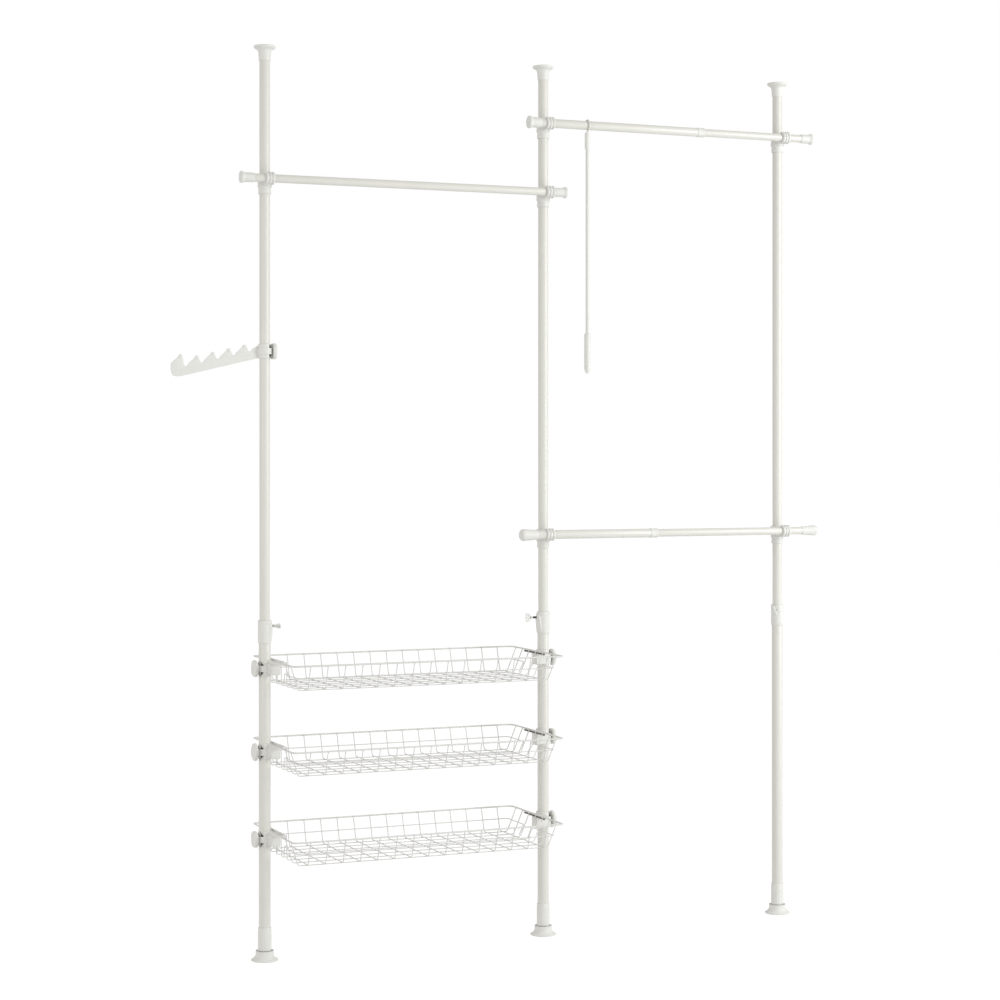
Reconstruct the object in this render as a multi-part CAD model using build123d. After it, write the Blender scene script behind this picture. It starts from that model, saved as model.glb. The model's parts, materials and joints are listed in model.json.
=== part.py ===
from build123d import *
import math
import os

# Wardrobe system of three floor-to-ceiling poles with cross rails, wire
# baskets, a notched hanger arm and a reach pole.
# Millimetres, Z up, X along the row of poles, the front towards -Y.
# The origin is the middle of the middle pole's foot, on the floor.

# Whole system
room_height = 2440
left_bay = 816
right_bay = 756
running_gap = 0.3
fit_gap = 0.05
overrun = 5

# Poles
lower_tube_radius = 16
lower_tube_wall = 1.5
upper_tube_wall = 1.5
telescope_gap = 0.4
upper_tube_radius = lower_tube_radius - lower_tube_wall - telescope_gap
upper_tube_foot_z = 430

# Feet, each with a threaded spindle set in it
foot_radius = 36.5
foot_rim_height = 3
foot_flare_height = 10.5
foot_flare_neck = 2.5
cup_radius = 24.5
cup_height = 13
spindle_radius = 8
spindle_reach = 120

# Adjusters, the fluted nuts under the lower tubes
grip_radius = 18.3
grip_height = 61.5
grip_chamfer_height = 6
grip_lip_wall = 0.3
grip_chamfer_step = 0.2
grip_nut_height = 29
flute_count = 16
flute_depth = 1.3

# Sleeves on the lower tubes, each with a wing screw
sleeve_top_z = 907
sleeve_height = 61
sleeve_radius = 18.6
sleeve_chamfer_height = 4
sleeve_chamfer = 1.6
sleeve_shoulder_drop = 9
boss_drop = 20
boss_radius = 7.5
boss_reach = 3.4
boss_tail = 16
screw_radius = 3
screw_neck = 3
wing_root = 9
wing_flank = 5
wing_span = 25
wing_reach = 13
wing_thickness = 4.5
left_screw_turn = -20
middle_screw_turn = 180
right_screw_turn = 230

# Ceiling caps
cap_height = 40
cap_rim_radius = 30.5
cap_rim_height = 2.5
cap_flare_height = 9
cap_flare_turn = 3
cap_barrel_radius = 17.2
cap_draft = 1.2
cap_socket_depth = 31

# Cross rails, in front of the poles
rail_offset = 43
rail_wall = 1.2
slim_rail_radius = 11
wide_rail_radius = slim_rail_radius + running_gap + rail_wall
rail_1_drop = 358
rail_2_drop = 166
rail_3_z = 1125
rail_1_left_reach = 81
rail_1_right_reach = 51
rail_2_left_reach = 65
rail_2_right_reach = 90
rail_3_left_reach = 89
rail_3_right_reach = 107
rail_2_joint_x = 476
rail_3_joint_x = 325
rail_2_overlap = 290
rail_3_overlap = 195
stop_collar_length = 22
stop_collar_wall = 0.9

# End caps of the rails
end_cap_length = 38
end_cap_wall = 1.8
end_cap_rim = 3
end_cap_rim_width = 7
end_cap_flare = 5
end_cap_floor = 4
cone_cap_length = 52
cone_cap_wall = 0.8
cone_cap_flare = 3.4
cone_cap_nose = 9
cone_cap_nose_inset = 4
guide_plug_length = 16
guide_plug_head_length = 4

# Clamps of the rails
clamp_bore = upper_tube_radius + running_gap
clamp_wall = 3
clamp_rise = 14
clamp_funnel_wall = 4.8
clamp_funnel_drop = 19
clamp_step = 4
clamp_waist_wall = 2
clamp_skirt_wall = 3.2
clamp_drop = 38
loop_rib_radius = 17.5
loop_groove_radius = 14.8
loop_rib_width = 5.6
loop_groove_width = 3
loop_rib_count = 3
neck_height = 24
lug_length = 9
lug_width = 7
lug_height = 9

# Baskets
rim_1_z = 802
rim_2_z = 579.5
rim_3_z = 347
rim_back_y = 122
rim_front_y = -231
rim_left_reach = 24
rim_right_reach = 44
rim_corner_radius = 24
rim_wire_radius = 2.2
wire_radius = 1.3
wire_sides = 6
basket_height = 65
wall_inset = 25
side_inset = 20
cross_wire_count = 15
cross_wire_pitch = 48
first_cross_wire = 29
floor_wire_count = 6
floor_wire_pitch = 55
first_floor_wire = 30
mid_wire_drop = 32
mid_wire_stop = 31

# Brackets that carry the baskets on the lower tubes
bracket_bore = lower_tube_radius + running_gap
bracket_radius = 20.3
bracket_rise = 4
bracket_drop = 41
bracket_middle_y = -40
bracket_open_reach = 9
band_radius = 22.4
band_height = 17
knob_drop = 23
shelf_wing_length = 148
shelf_wing_depth = 23
shelf_wing_thickness = 6
shelf_wing_lead = 1.4
block_width = 34
block_drop = 37
block_reach = 8
lip_rise = 4
pad_thickness = 2.7
pad_height = 39
pad_half_angle = 52

# Clamp knobs of the brackets and of the hanger arm
knob_radius = 21.2
knob_length = 9.5
knob_edge = 1.8
knob_screw_radius = 4

# Hanger arm on the left pole
arm_drop = 815
arm_collar_height = 38
arm_collar_radius = 17.6
arm_band_radius = 19.8
arm_thickness = 5
arm_open_reach = 7.5
arm_root_drop = 18
arm_root_rise = 15.5
arm_slope = 13.4
arm_hook_count = 5
arm_hook_pitch = 43.7
first_hook_reach = 56
hook_height = 40
hook_tip_radius = 4.2
end_hook_rise = 13
notch_lead = 14.5
notch_height = 23
notch_radius = 6
arm_end_reach = 257
arm_end_width = 26
arm_end_bulge = 4
arm_nose_height = 17
arm_nose_depth = 8
arm_nose_bulge = 2.5

# Reach pole hanging on the upper right rail
reach_pole_x = 117
hook_wire_radius = 2.4
hook_start_turn = 255
hook_end_turn = -35
socket_top_drop = 20
socket_radius = 7.4
socket_length = 47
socket_nose = 2
hook_insert = 15
rod_radius = 5
rod_insert = 20
grip_top_drop = 585
reach_grip_radius = 9
reach_grip_length = 112
reach_grip_nose = 11
reach_grip_nose_radius = 4

# Places worked out from the sizes above
pole_x = (-left_bay, 0, right_bay)
screw_turns = (left_screw_turn, middle_screw_turn, right_screw_turn)
cup_z = foot_rim_height + foot_flare_height
grip_z = cup_z + cup_height + running_gap
lower_tube_foot_z = grip_z + grip_nut_height
sleeve_z = sleeve_top_z - sleeve_height
screw_z = sleeve_top_z - boss_drop
lower_tube_top_z = screw_z - sleeve_shoulder_drop
rail_1_z = room_height - rail_1_drop
rail_2_z = room_height - rail_2_drop
arm_z = room_height - arm_drop
cap_z = room_height - cap_height
upper_tube_top_z = cap_z + cap_socket_depth
rim_z = (rim_1_z, rim_2_z, rim_3_z)
loop_width = loop_rib_count * loop_rib_width + (loop_rib_count - 1) * loop_groove_width
arm_bore = upper_tube_radius + running_gap


def turned(points):
    """A solid turned about Z from (radius, height) points."""
    outline = Polyline(*[(radius, 0, height) for radius, height in points], close=True)
    return revolve(make_face(outline), Axis.Z)


def turned_on_x(points):
    """A solid turned about X from (place along X, radius) points."""
    outline = Polyline(*[(place, 0, radius) for place, radius in points], close=True)
    return revolve(make_face(outline), Axis.X)


def tube(outer_radius, bore_radius, low, high):
    """A round tube along Z."""
    return turned([(bore_radius, low), (outer_radius, low), (outer_radius, high), (bore_radius, high)])


def tube_on_x(outer_radius, bore_radius, left, right):
    """A round tube along X."""
    return turned_on_x([(left, bore_radius), (left, outer_radius), (right, outer_radius), (right, bore_radius)])


def block(left, right, front, back, low, high):
    """A box between its six faces."""
    box = Box(right - left, back - front, high - low)
    return Pos((left + right) / 2, (front + back) / 2, (low + high) / 2) * box


def rod_between(radius, low, high):
    """A round bar along Z."""
    return Pos(0, 0, (low + high) / 2) * Cylinder(radius, high - low)


def rod_on_x(radius, left, right):
    """A round bar along X."""
    return Pos((left + right) / 2, 0, 0) * Rot(0, 90, 0) * Cylinder(radius, right - left)


def write(node, *solids):
    """One file for a named piece, from one or more solids."""
    shape = solids[0] if len(solids) == 1 else Compound(children=list(solids))
    shape.label = node
    export_step(shape, os.path.join("parts", node + ".step"))


# Pole pieces

def foot():
    """The flared disc with its cup, and the spindle that stands in it."""
    cup_top_z = cup_z + cup_height
    return turned([
        (0, 0),
        (foot_radius, 0),
        (foot_radius, foot_rim_height),
        (cup_radius + foot_flare_neck, cup_z - foot_rim_height),
        (cup_radius, cup_z),
        (cup_radius, cup_top_z),
        (spindle_radius, cup_top_z),
        (spindle_radius, cup_top_z + spindle_reach),
        (0, cup_top_z + spindle_reach),
    ])


def adjuster():
    """The fluted nut that the lower tube stands in."""
    top_z = grip_z + grip_height
    chamfer_z = top_z - grip_chamfer_height
    inner_radius = grip_radius - flute_depth
    corners = []
    for step in range(2 * flute_count):
        radius = grip_radius if step % 2 else inner_radius
        turn = math.pi * step / flute_count
        corners.append((radius * math.cos(turn), radius * math.sin(turn)))
    outline = make_face(Polyline(*corners, close=True))
    fluted = extrude(Pos(0, 0, grip_z) * outline, chamfer_z - grip_z)
    seat_radius = lower_tube_radius + running_gap
    fluted = fluted + turned([
        (0, chamfer_z),
        (inner_radius - grip_chamfer_step, chamfer_z),
        (seat_radius + grip_lip_wall, top_z),
        (0, top_z),
    ])
    seat = rod_between(seat_radius, lower_tube_foot_z, top_z + overrun)
    thread = rod_between(spindle_radius + running_gap, grip_z - overrun, top_z + overrun)
    return fluted - seat - thread


def sleeve(turn):
    """The ring on top of a lower tube, with the boss of its wing screw."""
    shoulder_radius = upper_tube_radius + running_gap
    seat_radius = lower_tube_radius + fit_gap
    ring = turned([
        (seat_radius, sleeve_z),
        (sleeve_radius - sleeve_chamfer, sleeve_z),
        (sleeve_radius, sleeve_z + sleeve_chamfer_height),
        (sleeve_radius, sleeve_top_z),
        (shoulder_radius, sleeve_top_z),
        (shoulder_radius, lower_tube_top_z),
        (seat_radius, lower_tube_top_z),
    ])
    drop = [
        Line((0, boss_radius), (-boss_tail, 0)),
        Line((-boss_tail, 0), (0, -boss_radius)),
        ThreePointArc((0, -boss_radius), (boss_radius, 0), (0, boss_radius)),
    ]
    pad_plane = Plane(origin=(0, 0, screw_z), x_dir=(0, 0, 1), z_dir=(1, 0, 0))
    pad = extrude(pad_plane * make_face(drop), sleeve_radius + boss_reach)
    pad = pad - rod_between(sleeve_radius - sleeve_chamfer, sleeve_z - overrun, sleeve_top_z + overrun)
    reach = sleeve_radius + boss_reach + overrun
    hole = Pos(0, 0, screw_z) * rod_on_x(screw_radius + fit_gap, 0, reach)
    return Rot(0, 0, turn) * (ring + pad - hole)


def lower_tube():
    """The wide tube, from the adjuster's shoulder up into the sleeve."""
    bore_radius = lower_tube_radius - lower_tube_wall
    return tube(lower_tube_radius, bore_radius, lower_tube_foot_z, lower_tube_top_z)


def wing_screw(turn):
    """The screw that pinches the upper tube, with its fan-shaped wing."""
    tip = upper_tube_radius + running_gap
    start = sleeve_radius + boss_reach + screw_neck
    shank = rod_on_x(screw_radius, tip, start + wing_flank)
    half = wing_span / 2
    fan = [
        Line((start, -wing_root / 2), (start, wing_root / 2)),
        Line((start, wing_root / 2), (start + wing_flank, half)),
        ThreePointArc((start + wing_flank, half), (start + wing_reach, 0), (start + wing_flank, -half)),
        Line((start + wing_flank, -half), (start, -wing_root / 2)),
    ]
    blade = extrude(Plane.XZ * make_face(fan), wing_thickness / 2, both=True)
    return Rot(0, 0, turn) * Pos(0, 0, screw_z) * (shank + blade)


def upper_tube():
    """The narrow tube that slides in the lower one."""
    bore_radius = upper_tube_radius - upper_tube_wall
    return tube(upper_tube_radius, bore_radius, upper_tube_foot_z, upper_tube_top_z)


def ceiling_cap():
    """The flared plate that presses on the ceiling, on a socket for the tube."""
    seat_radius = upper_tube_radius + fit_gap
    rim_low_z = room_height - cap_rim_height
    return turned([
        (seat_radius, cap_z),
        (cap_barrel_radius - cap_draft, cap_z),
        (cap_barrel_radius, rim_low_z - cap_flare_height),
        (cap_barrel_radius + cap_flare_turn, rim_low_z - cap_flare_turn),
        (cap_rim_radius, rim_low_z),
        (cap_rim_radius, room_height),
        (0, room_height),
        (0, upper_tube_top_z),
        (seat_radius, upper_tube_top_z),
    ])


# Rail pieces

def flared_cap(end_x, rail_radius, inward):
    """The rimmed cap on the end of a rail; inward is +1 at a left end."""
    outer = rail_radius + end_cap_wall
    rim = rail_radius + end_cap_wall + end_cap_rim
    seat = rail_radius + fit_gap
    profile = [
        (0, 0),
        (0, rim),
        (end_cap_rim_width, rim),
        (end_cap_rim_width + end_cap_flare, outer),
        (end_cap_length, outer),
        (end_cap_length, seat),
        (end_cap_floor, seat),
        (end_cap_floor, 0),
    ]
    return turned_on_x([(end_x + inward * place, radius) for place, radius in profile])


def cone_cap(end_x, rail_radius, inward):
    """The long tapered cap with a rounded nose."""
    slim = rail_radius + cone_cap_wall
    wide = slim + cone_cap_flare
    seat = rail_radius + fit_gap
    profile = [
        (0, 0),
        (0, wide - cone_cap_nose_inset),
        (cone_cap_nose, wide),
        (cone_cap_length, slim),
        (cone_cap_length, seat),
        (end_cap_floor, seat),
        (end_cap_floor, 0),
    ]
    return turned_on_x([(end_x + inward * place, radius) for place, radius in profile])


def stop_collar(joint_x):
    """The ring that ends the wide tube and guides the slim one."""
    outer = wide_rail_radius + stop_collar_wall
    half = stop_collar_length / 2
    return turned_on_x([
        (joint_x - half, wide_rail_radius + fit_gap),
        (joint_x - half, outer),
        (joint_x + half, outer),
        (joint_x + half, slim_rail_radius + running_gap),
        (joint_x, slim_rail_radius + running_gap),
        (joint_x, wide_rail_radius + fit_gap),
    ])


def rail_clamp(rail_radius):
    """A collar on the pole with a ribbed loop for the rail, about (0, 0) and the rail's height."""
    collar = turned([
        (0, clamp_rise),
        (clamp_bore + clamp_wall, clamp_rise),
        (clamp_bore + clamp_funnel_wall, -clamp_funnel_drop),
        (clamp_bore + clamp_waist_wall, -clamp_funnel_drop - clamp_step),
        (clamp_bore + clamp_skirt_wall, -clamp_drop),
        (0, -clamp_drop),
    ])
    left = -loop_width / 2
    ribs = [(left, 0)]
    for rib in range(loop_rib_count):
        start = left + rib * (loop_rib_width + loop_groove_width)
        ribs.append((start, loop_rib_radius))
        ribs.append((start + loop_rib_width, loop_rib_radius))
        if rib < loop_rib_count - 1:
            ribs.append((start + loop_rib_width, loop_groove_radius))
            ribs.append((start + loop_rib_width + loop_groove_width, loop_groove_radius))
    ribs.append((-left, 0))
    loop = Pos(0, -rail_offset, 0) * turned_on_x(ribs)
    neck = block(left, -left, -rail_offset, 0, -neck_height / 2, neck_height / 2)
    lug_x = -clamp_bore - clamp_wall
    lug = block(lug_x - lug_length / 2, lug_x + lug_length, -lug_width / 2, lug_width / 2,
                clamp_rise - lug_height, clamp_rise)
    pole_hole = rod_between(clamp_bore, -clamp_drop - overrun, clamp_rise + overrun)
    rail_hole = rod_on_x(rail_radius + fit_gap, left - overrun, overrun - left)
    return collar + loop + neck + lug - pole_hole - Pos(0, -rail_offset, 0) * rail_hole


def guide_plug(end_x):
    """The plug in the inner tube's hidden end, which runs in the outer tube."""
    head = slim_rail_radius
    return turned_on_x([
        (end_x - guide_plug_head_length, 0),
        (end_x - guide_plug_head_length, head),
        (end_x, head),
        (end_x, slim_rail_radius - rail_wall - fit_gap),
        (end_x + guide_plug_length, slim_rail_radius - rail_wall - fit_gap),
        (end_x + guide_plug_length, 0),
    ])


# Basket and bracket pieces

def wire(radius, points):
    """A bent wire through its corner points."""
    path = Polyline(*points)
    section = path.location_at(0) * RegularPolygon(radius, wire_sides)
    return sweep(section, path, transition=Transition.RIGHT)


def basket(top_z):
    """A welded wire basket: rim, two mid wires, cross wires and floor wires."""
    left_x = -left_bay + rim_left_reach
    right_x = -rim_right_reach
    weld = rim_wire_radius + wire_radius
    floor_z = top_z - basket_height
    upper_floor_z = floor_z + 2 * wire_radius
    rim_path = FilletPolyline(
        (left_x, rim_front_y, top_z),
        (right_x, rim_front_y, top_z),
        (right_x, rim_back_y, top_z),
        (left_x, rim_back_y, top_z),
        radius=rim_corner_radius,
        close=True,
    )
    rim_section = rim_path.location_at(0) * RegularPolygon(rim_wire_radius, wire_sides)
    solids = [sweep(rim_section, rim_path)]
    for number in range(cross_wire_count):
        x = left_x + first_cross_wire + number * cross_wire_pitch
        solids.append(wire(wire_radius, [
            (x, rim_back_y - weld, top_z),
            (x, rim_back_y - wall_inset, floor_z),
            (x, rim_front_y + wall_inset, floor_z),
            (x, rim_front_y + weld, top_z),
        ]))
    for number in range(floor_wire_count):
        y = rim_back_y - first_floor_wire - number * floor_wire_pitch
        floor_left = (left_x + side_inset, y, upper_floor_z)
        floor_right = (right_x - side_inset, y, upper_floor_z)
        solids.append(wire(wire_radius, [
            (left_x + weld, y, top_z), floor_left, floor_right, (right_x - weld, y, top_z),
        ]))
    mid_share = mid_wire_drop / basket_height
    side_lean = weld + (side_inset - weld) * mid_share + 2 * wire_radius
    wall_lean = weld + (wall_inset - weld) * mid_share + 2 * wire_radius
    mid_z = top_z - mid_wire_drop
    foot_lean = side_inset + 2 * wire_radius
    foot_z = upper_floor_z + 2 * wire_radius
    for direction, wall_y in ((1, rim_back_y), (-1, rim_front_y)):
        stop_y = bracket_middle_y + direction * mid_wire_stop
        corner_y = wall_y - direction * wall_lean
        solids.append(wire(wire_radius, [
            (left_x + foot_lean, stop_y, foot_z),
            (left_x + side_lean, stop_y, mid_z),
            (left_x + side_lean, corner_y, mid_z),
            (right_x - side_lean, corner_y, mid_z),
            (right_x - side_lean, stop_y, mid_z),
            (right_x - foot_lean, stop_y, foot_z),
        ]))
    return solids


def bracket(reach, top_z):
    """A shelf bracket about its pole's axis, with the basket towards +X."""
    low = top_z - bracket_drop
    high = top_z + bracket_rise
    knob_z = top_z - knob_drop
    half_band = band_height / 2
    collar = rod_between(bracket_radius, low, high)
    far = bracket_radius + overrun
    for part_low, part_high in ((low - overrun, knob_z - half_band), (knob_z + half_band, high + overrun)):
        collar = collar - block(-far, -bracket_open_reach, -far, far, part_low, part_high)
    band = rod_between(band_radius, knob_z - half_band, knob_z + half_band)
    seat_z = top_z - rim_wire_radius - running_gap
    edge_x = reach + shelf_wing_lead
    half_wing = shelf_wing_length / 2
    back_y = bracket_middle_y + half_wing
    front_y = bracket_middle_y - half_wing
    leaf = [
        Line((edge_x, front_y), (edge_x, back_y)),
        ThreePointArc((edge_x, back_y), (edge_x - shelf_wing_depth, bracket_middle_y), (edge_x, front_y)),
    ]
    wing = extrude(Pos(0, 0, seat_z - shelf_wing_thickness) * make_face(leaf), shelf_wing_thickness)
    block_front = bracket_middle_y - block_width / 2
    block_back = bracket_middle_y + block_width / 2
    arm = block(0, reach + block_reach, block_front, block_back, top_z - block_drop, seat_z - shelf_wing_thickness)
    lip_x = reach + rim_wire_radius + running_gap
    lip = block(lip_x, reach + block_reach, block_front, block_back, top_z - block_drop, top_z + lip_rise)
    root = block(0, bracket_radius, block_front, 0, top_z - block_drop, seat_z - shelf_wing_thickness)
    body = collar + band + wing + arm + lip + root
    body = body - rod_between(bracket_bore, low - overrun, high + overrun)
    pad_pocket = rod_between(bracket_bore + pad_thickness + running_gap, knob_z - half_band - overrun,
                             knob_z + half_band + overrun)
    body = body - (pad_pocket & block(-far, -bracket_open_reach, -far, far, low, high))
    screw_hole = Pos(0, 0, knob_z) * rod_on_x(knob_screw_radius + running_gap, -far, 0)
    return body - screw_hole


def pressure_pad(bore_radius, height):
    """The curved pad that a clamp screw presses on the pole, towards -X."""
    outer = bore_radius + pad_thickness
    ring = tube(outer, bore_radius, -height / 2, height / 2)
    reach = outer + overrun
    turn = math.radians(pad_half_angle)
    side = reach * math.tan(turn)
    sector = extrude(Pos(0, 0, -height / 2) * make_face(Polyline((0, 0), (-reach, side), (-reach, -side), close=True)),
                     height)
    return ring & sector


def clamp_knob(band_outer, pad_outer):
    """The round knob and its screw, about the pole's axis, towards -X."""
    inner = -band_outer - running_gap
    outer = inner - knob_length
    return turned_on_x([
        (-pad_outer - fit_gap, 0),
        (-pad_outer - fit_gap, knob_screw_radius),
        (inner, knob_screw_radius),
        (inner, knob_radius),
        (outer + knob_edge, knob_radius),
        (outer, knob_radius - knob_edge),
        (outer, 0),
    ])


# Hanger arm pieces

def hook_arm():
    """The notched arm with its collar on the left pole, about the pole's axis."""
    fall = math.tan(math.radians(arm_slope))
    root_z = arm_z - arm_root_drop

    def base_z(reach):
        return root_z - (reach - arm_bore) * fall

    edges = []
    here = (-arm_collar_radius, arm_z + arm_root_rise)
    for number in range(arm_hook_count):
        tip_reach = first_hook_reach + number * arm_hook_pitch
        notch_reach = tip_reach - notch_lead
        notch_z = base_z(notch_reach) + notch_height
        notch_in = (-notch_reach + notch_radius, notch_z + notch_radius)
        notch_out = (-notch_reach - notch_radius, notch_z + notch_radius)
        edges.append(Line(here, notch_in))
        edges.append(ThreePointArc(notch_in, (-notch_reach, notch_z), notch_out))
        tip_z = base_z(tip_reach) + hook_height
        if number == arm_hook_count - 1:
            tip_z = tip_z + end_hook_rise
        tip_in = (-tip_reach + hook_tip_radius, tip_z)
        tip_out = (-tip_reach - hook_tip_radius, tip_z)
        edges.append(Line(notch_out, tip_in))
        edges.append(ThreePointArc(tip_in, (-tip_reach, tip_z + hook_tip_radius), tip_out))
        here = tip_out
    low_reach = arm_end_reach - arm_end_width
    low_z = base_z(low_reach)
    nose = (-arm_end_reach, low_z + arm_nose_height)
    toe = (-arm_end_reach + arm_nose_depth, low_z)
    back = ((here[0] + nose[0]) / 2 - arm_end_bulge, (here[1] + nose[1]) / 2)
    heel = ((nose[0] + toe[0]) / 2 - arm_nose_bulge, (nose[1] + toe[1]) / 2)
    edges.append(ThreePointArc(here, back, nose))
    edges.append(ThreePointArc(nose, heel, toe))
    edges.append(Line(toe, (-low_reach, low_z)))
    edges.append(Line((-low_reach, low_z), (-arm_bore, root_z)))
    edges.append(Line((-arm_bore, root_z), (-arm_bore, arm_z + arm_root_rise)))
    edges.append(Line((-arm_bore, arm_z + arm_root_rise), (-arm_collar_radius, arm_z + arm_root_rise)))
    plate = extrude(Plane.XZ * make_face(edges), arm_thickness / 2, both=True)
    low = arm_z - arm_collar_height / 2
    high = arm_z + arm_collar_height / 2
    far = arm_collar_radius + overrun
    half_band = band_height / 2
    collar = rod_between(arm_collar_radius, low, high)
    collar = collar - block(arm_open_reach, far, -far, far, low - overrun, arm_z - half_band)
    collar = collar - block(arm_open_reach, far, -far, far, arm_z + half_band, high + overrun)
    band = rod_between(arm_band_radius, arm_z - half_band, arm_z + half_band)
    body = plate + collar + band
    body = body - rod_between(arm_bore, low - overrun, high + overrun)
    pocket = rod_between(arm_bore + pad_thickness + running_gap, arm_z - half_band - overrun,
                         arm_z + half_band + overrun)
    body = body - (pocket & block(arm_open_reach, far, -far, far, low, high))
    return body - Pos(0, 0, arm_z) * rod_on_x(knob_screw_radius + running_gap, 0, far)


# Reach pole pieces

def reach_pole_hook():
    """The bent wire that hangs over the rail, about the rail's axis."""
    hook_radius = wide_rail_radius + running_gap + hook_wire_radius
    turn = math.radians(hook_start_turn)
    meet = (hook_radius * math.cos(turn), hook_radius * math.sin(turn))
    bend = math.radians(hook_start_turn - 180)
    bend_radius = -meet[0] / (1 - math.cos(bend))
    bend_z = meet[1] - bend_radius * math.sin(bend)
    half = bend / 2
    middle = (bend_radius * (math.cos(half) - 1), bend_z + bend_radius * math.sin(half))
    stem = Line((0, -socket_top_drop - hook_insert), (0, bend_z))
    offset = ThreePointArc((0, bend_z), middle, meet)
    loop = CenterArc((0, 0), hook_radius, hook_start_turn, hook_end_turn - hook_start_turn)
    plane = Plane(origin=(0, 0, 0), x_dir=(0, 1, 0), z_dir=(1, 0, 0))
    path = plane * (stem + offset + loop)
    section = path.location_at(0) * RegularPolygon(hook_wire_radius, wire_sides)
    return sweep(section, path)


def reach_pole_socket():
    """The plug that joins the hook to the rod."""
    low = -socket_top_drop - socket_length
    seat_radius = rod_radius + fit_gap
    wire_seat = hook_wire_radius + fit_gap
    return turned([
        (wire_seat, -socket_top_drop),
        (socket_radius - socket_nose, -socket_top_drop),
        (socket_radius, -socket_top_drop - socket_nose),
        (socket_radius, low),
        (seat_radius, low),
        (seat_radius, low + rod_insert),
        (0, low + rod_insert),
        (0, -socket_top_drop - hook_insert),
        (wire_seat, -socket_top_drop - hook_insert),
    ])


def reach_pole_rod():
    """The thin rod from the socket into the grip."""
    top = -socket_top_drop - socket_length + rod_insert
    return rod_between(rod_radius, -grip_top_drop - rod_insert, top)


def reach_pole_grip():
    """The handle with a tapered end."""
    low = -grip_top_drop - reach_grip_length
    nose = low + reach_grip_nose
    seat_radius = rod_radius + fit_gap
    return turned([
        (0, low),
        (reach_grip_nose_radius, low),
        (reach_grip_radius, nose),
        (reach_grip_radius, -grip_top_drop),
        (seat_radius, -grip_top_drop),
        (seat_radius, -grip_top_drop - rod_insert),
        (0, -grip_top_drop - rod_insert),
    ])


def write_poles():
    """The pieces of the three poles; the left and middle ones make the left frame."""
    left, middle, right = [Pos(x, 0, 0) for x in pole_x]
    disc = foot()
    grip = adjuster()
    for number, (x, turn) in enumerate(zip(pole_x, screw_turns), start=1):
        at = Pos(x, 0, 0)
        write(f"foot_{number}", at * disc)
        write(f"adjuster_{number}", at * grip)
        write(f"wing_screw_{number}", at * wing_screw(turn))
    left_sleeve, middle_sleeve, right_sleeve = [sleeve(turn) for turn in screw_turns]
    write("left_sleeves", left * left_sleeve, middle * middle_sleeve)
    write("right_sleeve", right * right_sleeve)
    for name, piece in (
        ("lower_tube", lower_tube()),
        ("upper_tube", upper_tube()),
        ("ceiling_cap", ceiling_cap()),
    ):
        write(f"left_{name}s", left * piece, middle * piece)
        write(f"right_{name}", right * piece)


def write_upper_left_rail():
    """The single tube between the left and middle poles."""
    at = Pos(0, -rail_offset, rail_1_z)
    left_end = -left_bay - rail_1_left_reach
    right_end = rail_1_right_reach
    rail = tube_on_x(slim_rail_radius, slim_rail_radius - rail_wall, left_end + end_cap_floor,
                     right_end - end_cap_floor)
    write("rail_1_tube", at * rail)
    left_cap = flared_cap(left_end, slim_rail_radius, 1)
    right_cap = flared_cap(right_end, slim_rail_radius, -1)
    write("rail_1_end_caps", at * left_cap, at * right_cap)
    clamp = Pos(0, 0, rail_1_z) * rail_clamp(slim_rail_radius)
    write("rail_1_clamps", Pos(-left_bay, 0, 0) * clamp, clamp)


def write_telescopic_rail(name, height, left_reach, right_reach, joint_x, overlap, cap):
    """A two-tube rail between the middle and right poles."""
    at = Pos(0, -rail_offset, height)
    left_end = -left_reach
    right_end = right_bay + right_reach
    inner_end = joint_x - overlap
    outer = tube_on_x(wide_rail_radius, wide_rail_radius - rail_wall, left_end + end_cap_floor, joint_x)
    inner = tube_on_x(slim_rail_radius, slim_rail_radius - rail_wall, inner_end, right_end - end_cap_floor)
    write(f"{name}_outer_tube", at * outer)
    write(f"{name}_left_fittings",
          at * cap(left_end, wide_rail_radius, 1),
          Pos(0, 0, height) * rail_clamp(wide_rail_radius),
          at * stop_collar(joint_x))
    write(f"{name}_inner_tube", at * inner)
    write(f"{name}_right_fittings",
          at * guide_plug(inner_end),
          Pos(right_bay, 0, height) * rail_clamp(slim_rail_radius),
          at * cap(right_end, slim_rail_radius, -1))


def write_shelves():
    """Three baskets, each on a pair of brackets with clamp knobs."""
    pad_outer = bracket_bore + pad_thickness
    knob = clamp_knob(band_radius, pad_outer)
    pad = pressure_pad(bracket_bore, pad_height)
    for number, top_z in enumerate(rim_z, start=1):
        name = f"shelf_{number}"
        left_at = Pos(-left_bay, 0, 0)
        right_bracket = mirror(bracket(rim_right_reach, top_z), Plane.YZ)
        write(f"{name}_brackets", left_at * bracket(rim_left_reach, top_z), right_bracket)
        knob_at = Pos(0, 0, top_z - knob_drop)
        write(f"{name}_pressure_pads", left_at * knob_at * pad, mirror(knob_at * pad, Plane.YZ))
        write(f"{name}_knobs", left_at * knob_at * knob, mirror(knob_at * knob, Plane.YZ))
        write(f"{name}_basket", *basket(top_z))


def write_hanger_arm():
    """The arm, its pad and its knob on the left pole."""
    at = Pos(-left_bay, 0, 0)
    knob = clamp_knob(arm_band_radius, arm_bore + pad_thickness)
    pad = pressure_pad(arm_bore, arm_collar_height)
    write("hanger_arm", at * hook_arm())
    write("hanger_arm_pressure_pad", at * Pos(0, 0, arm_z) * mirror(pad, Plane.YZ))
    write("hanger_arm_knob", at * Pos(0, 0, arm_z) * mirror(knob, Plane.YZ))


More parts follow.
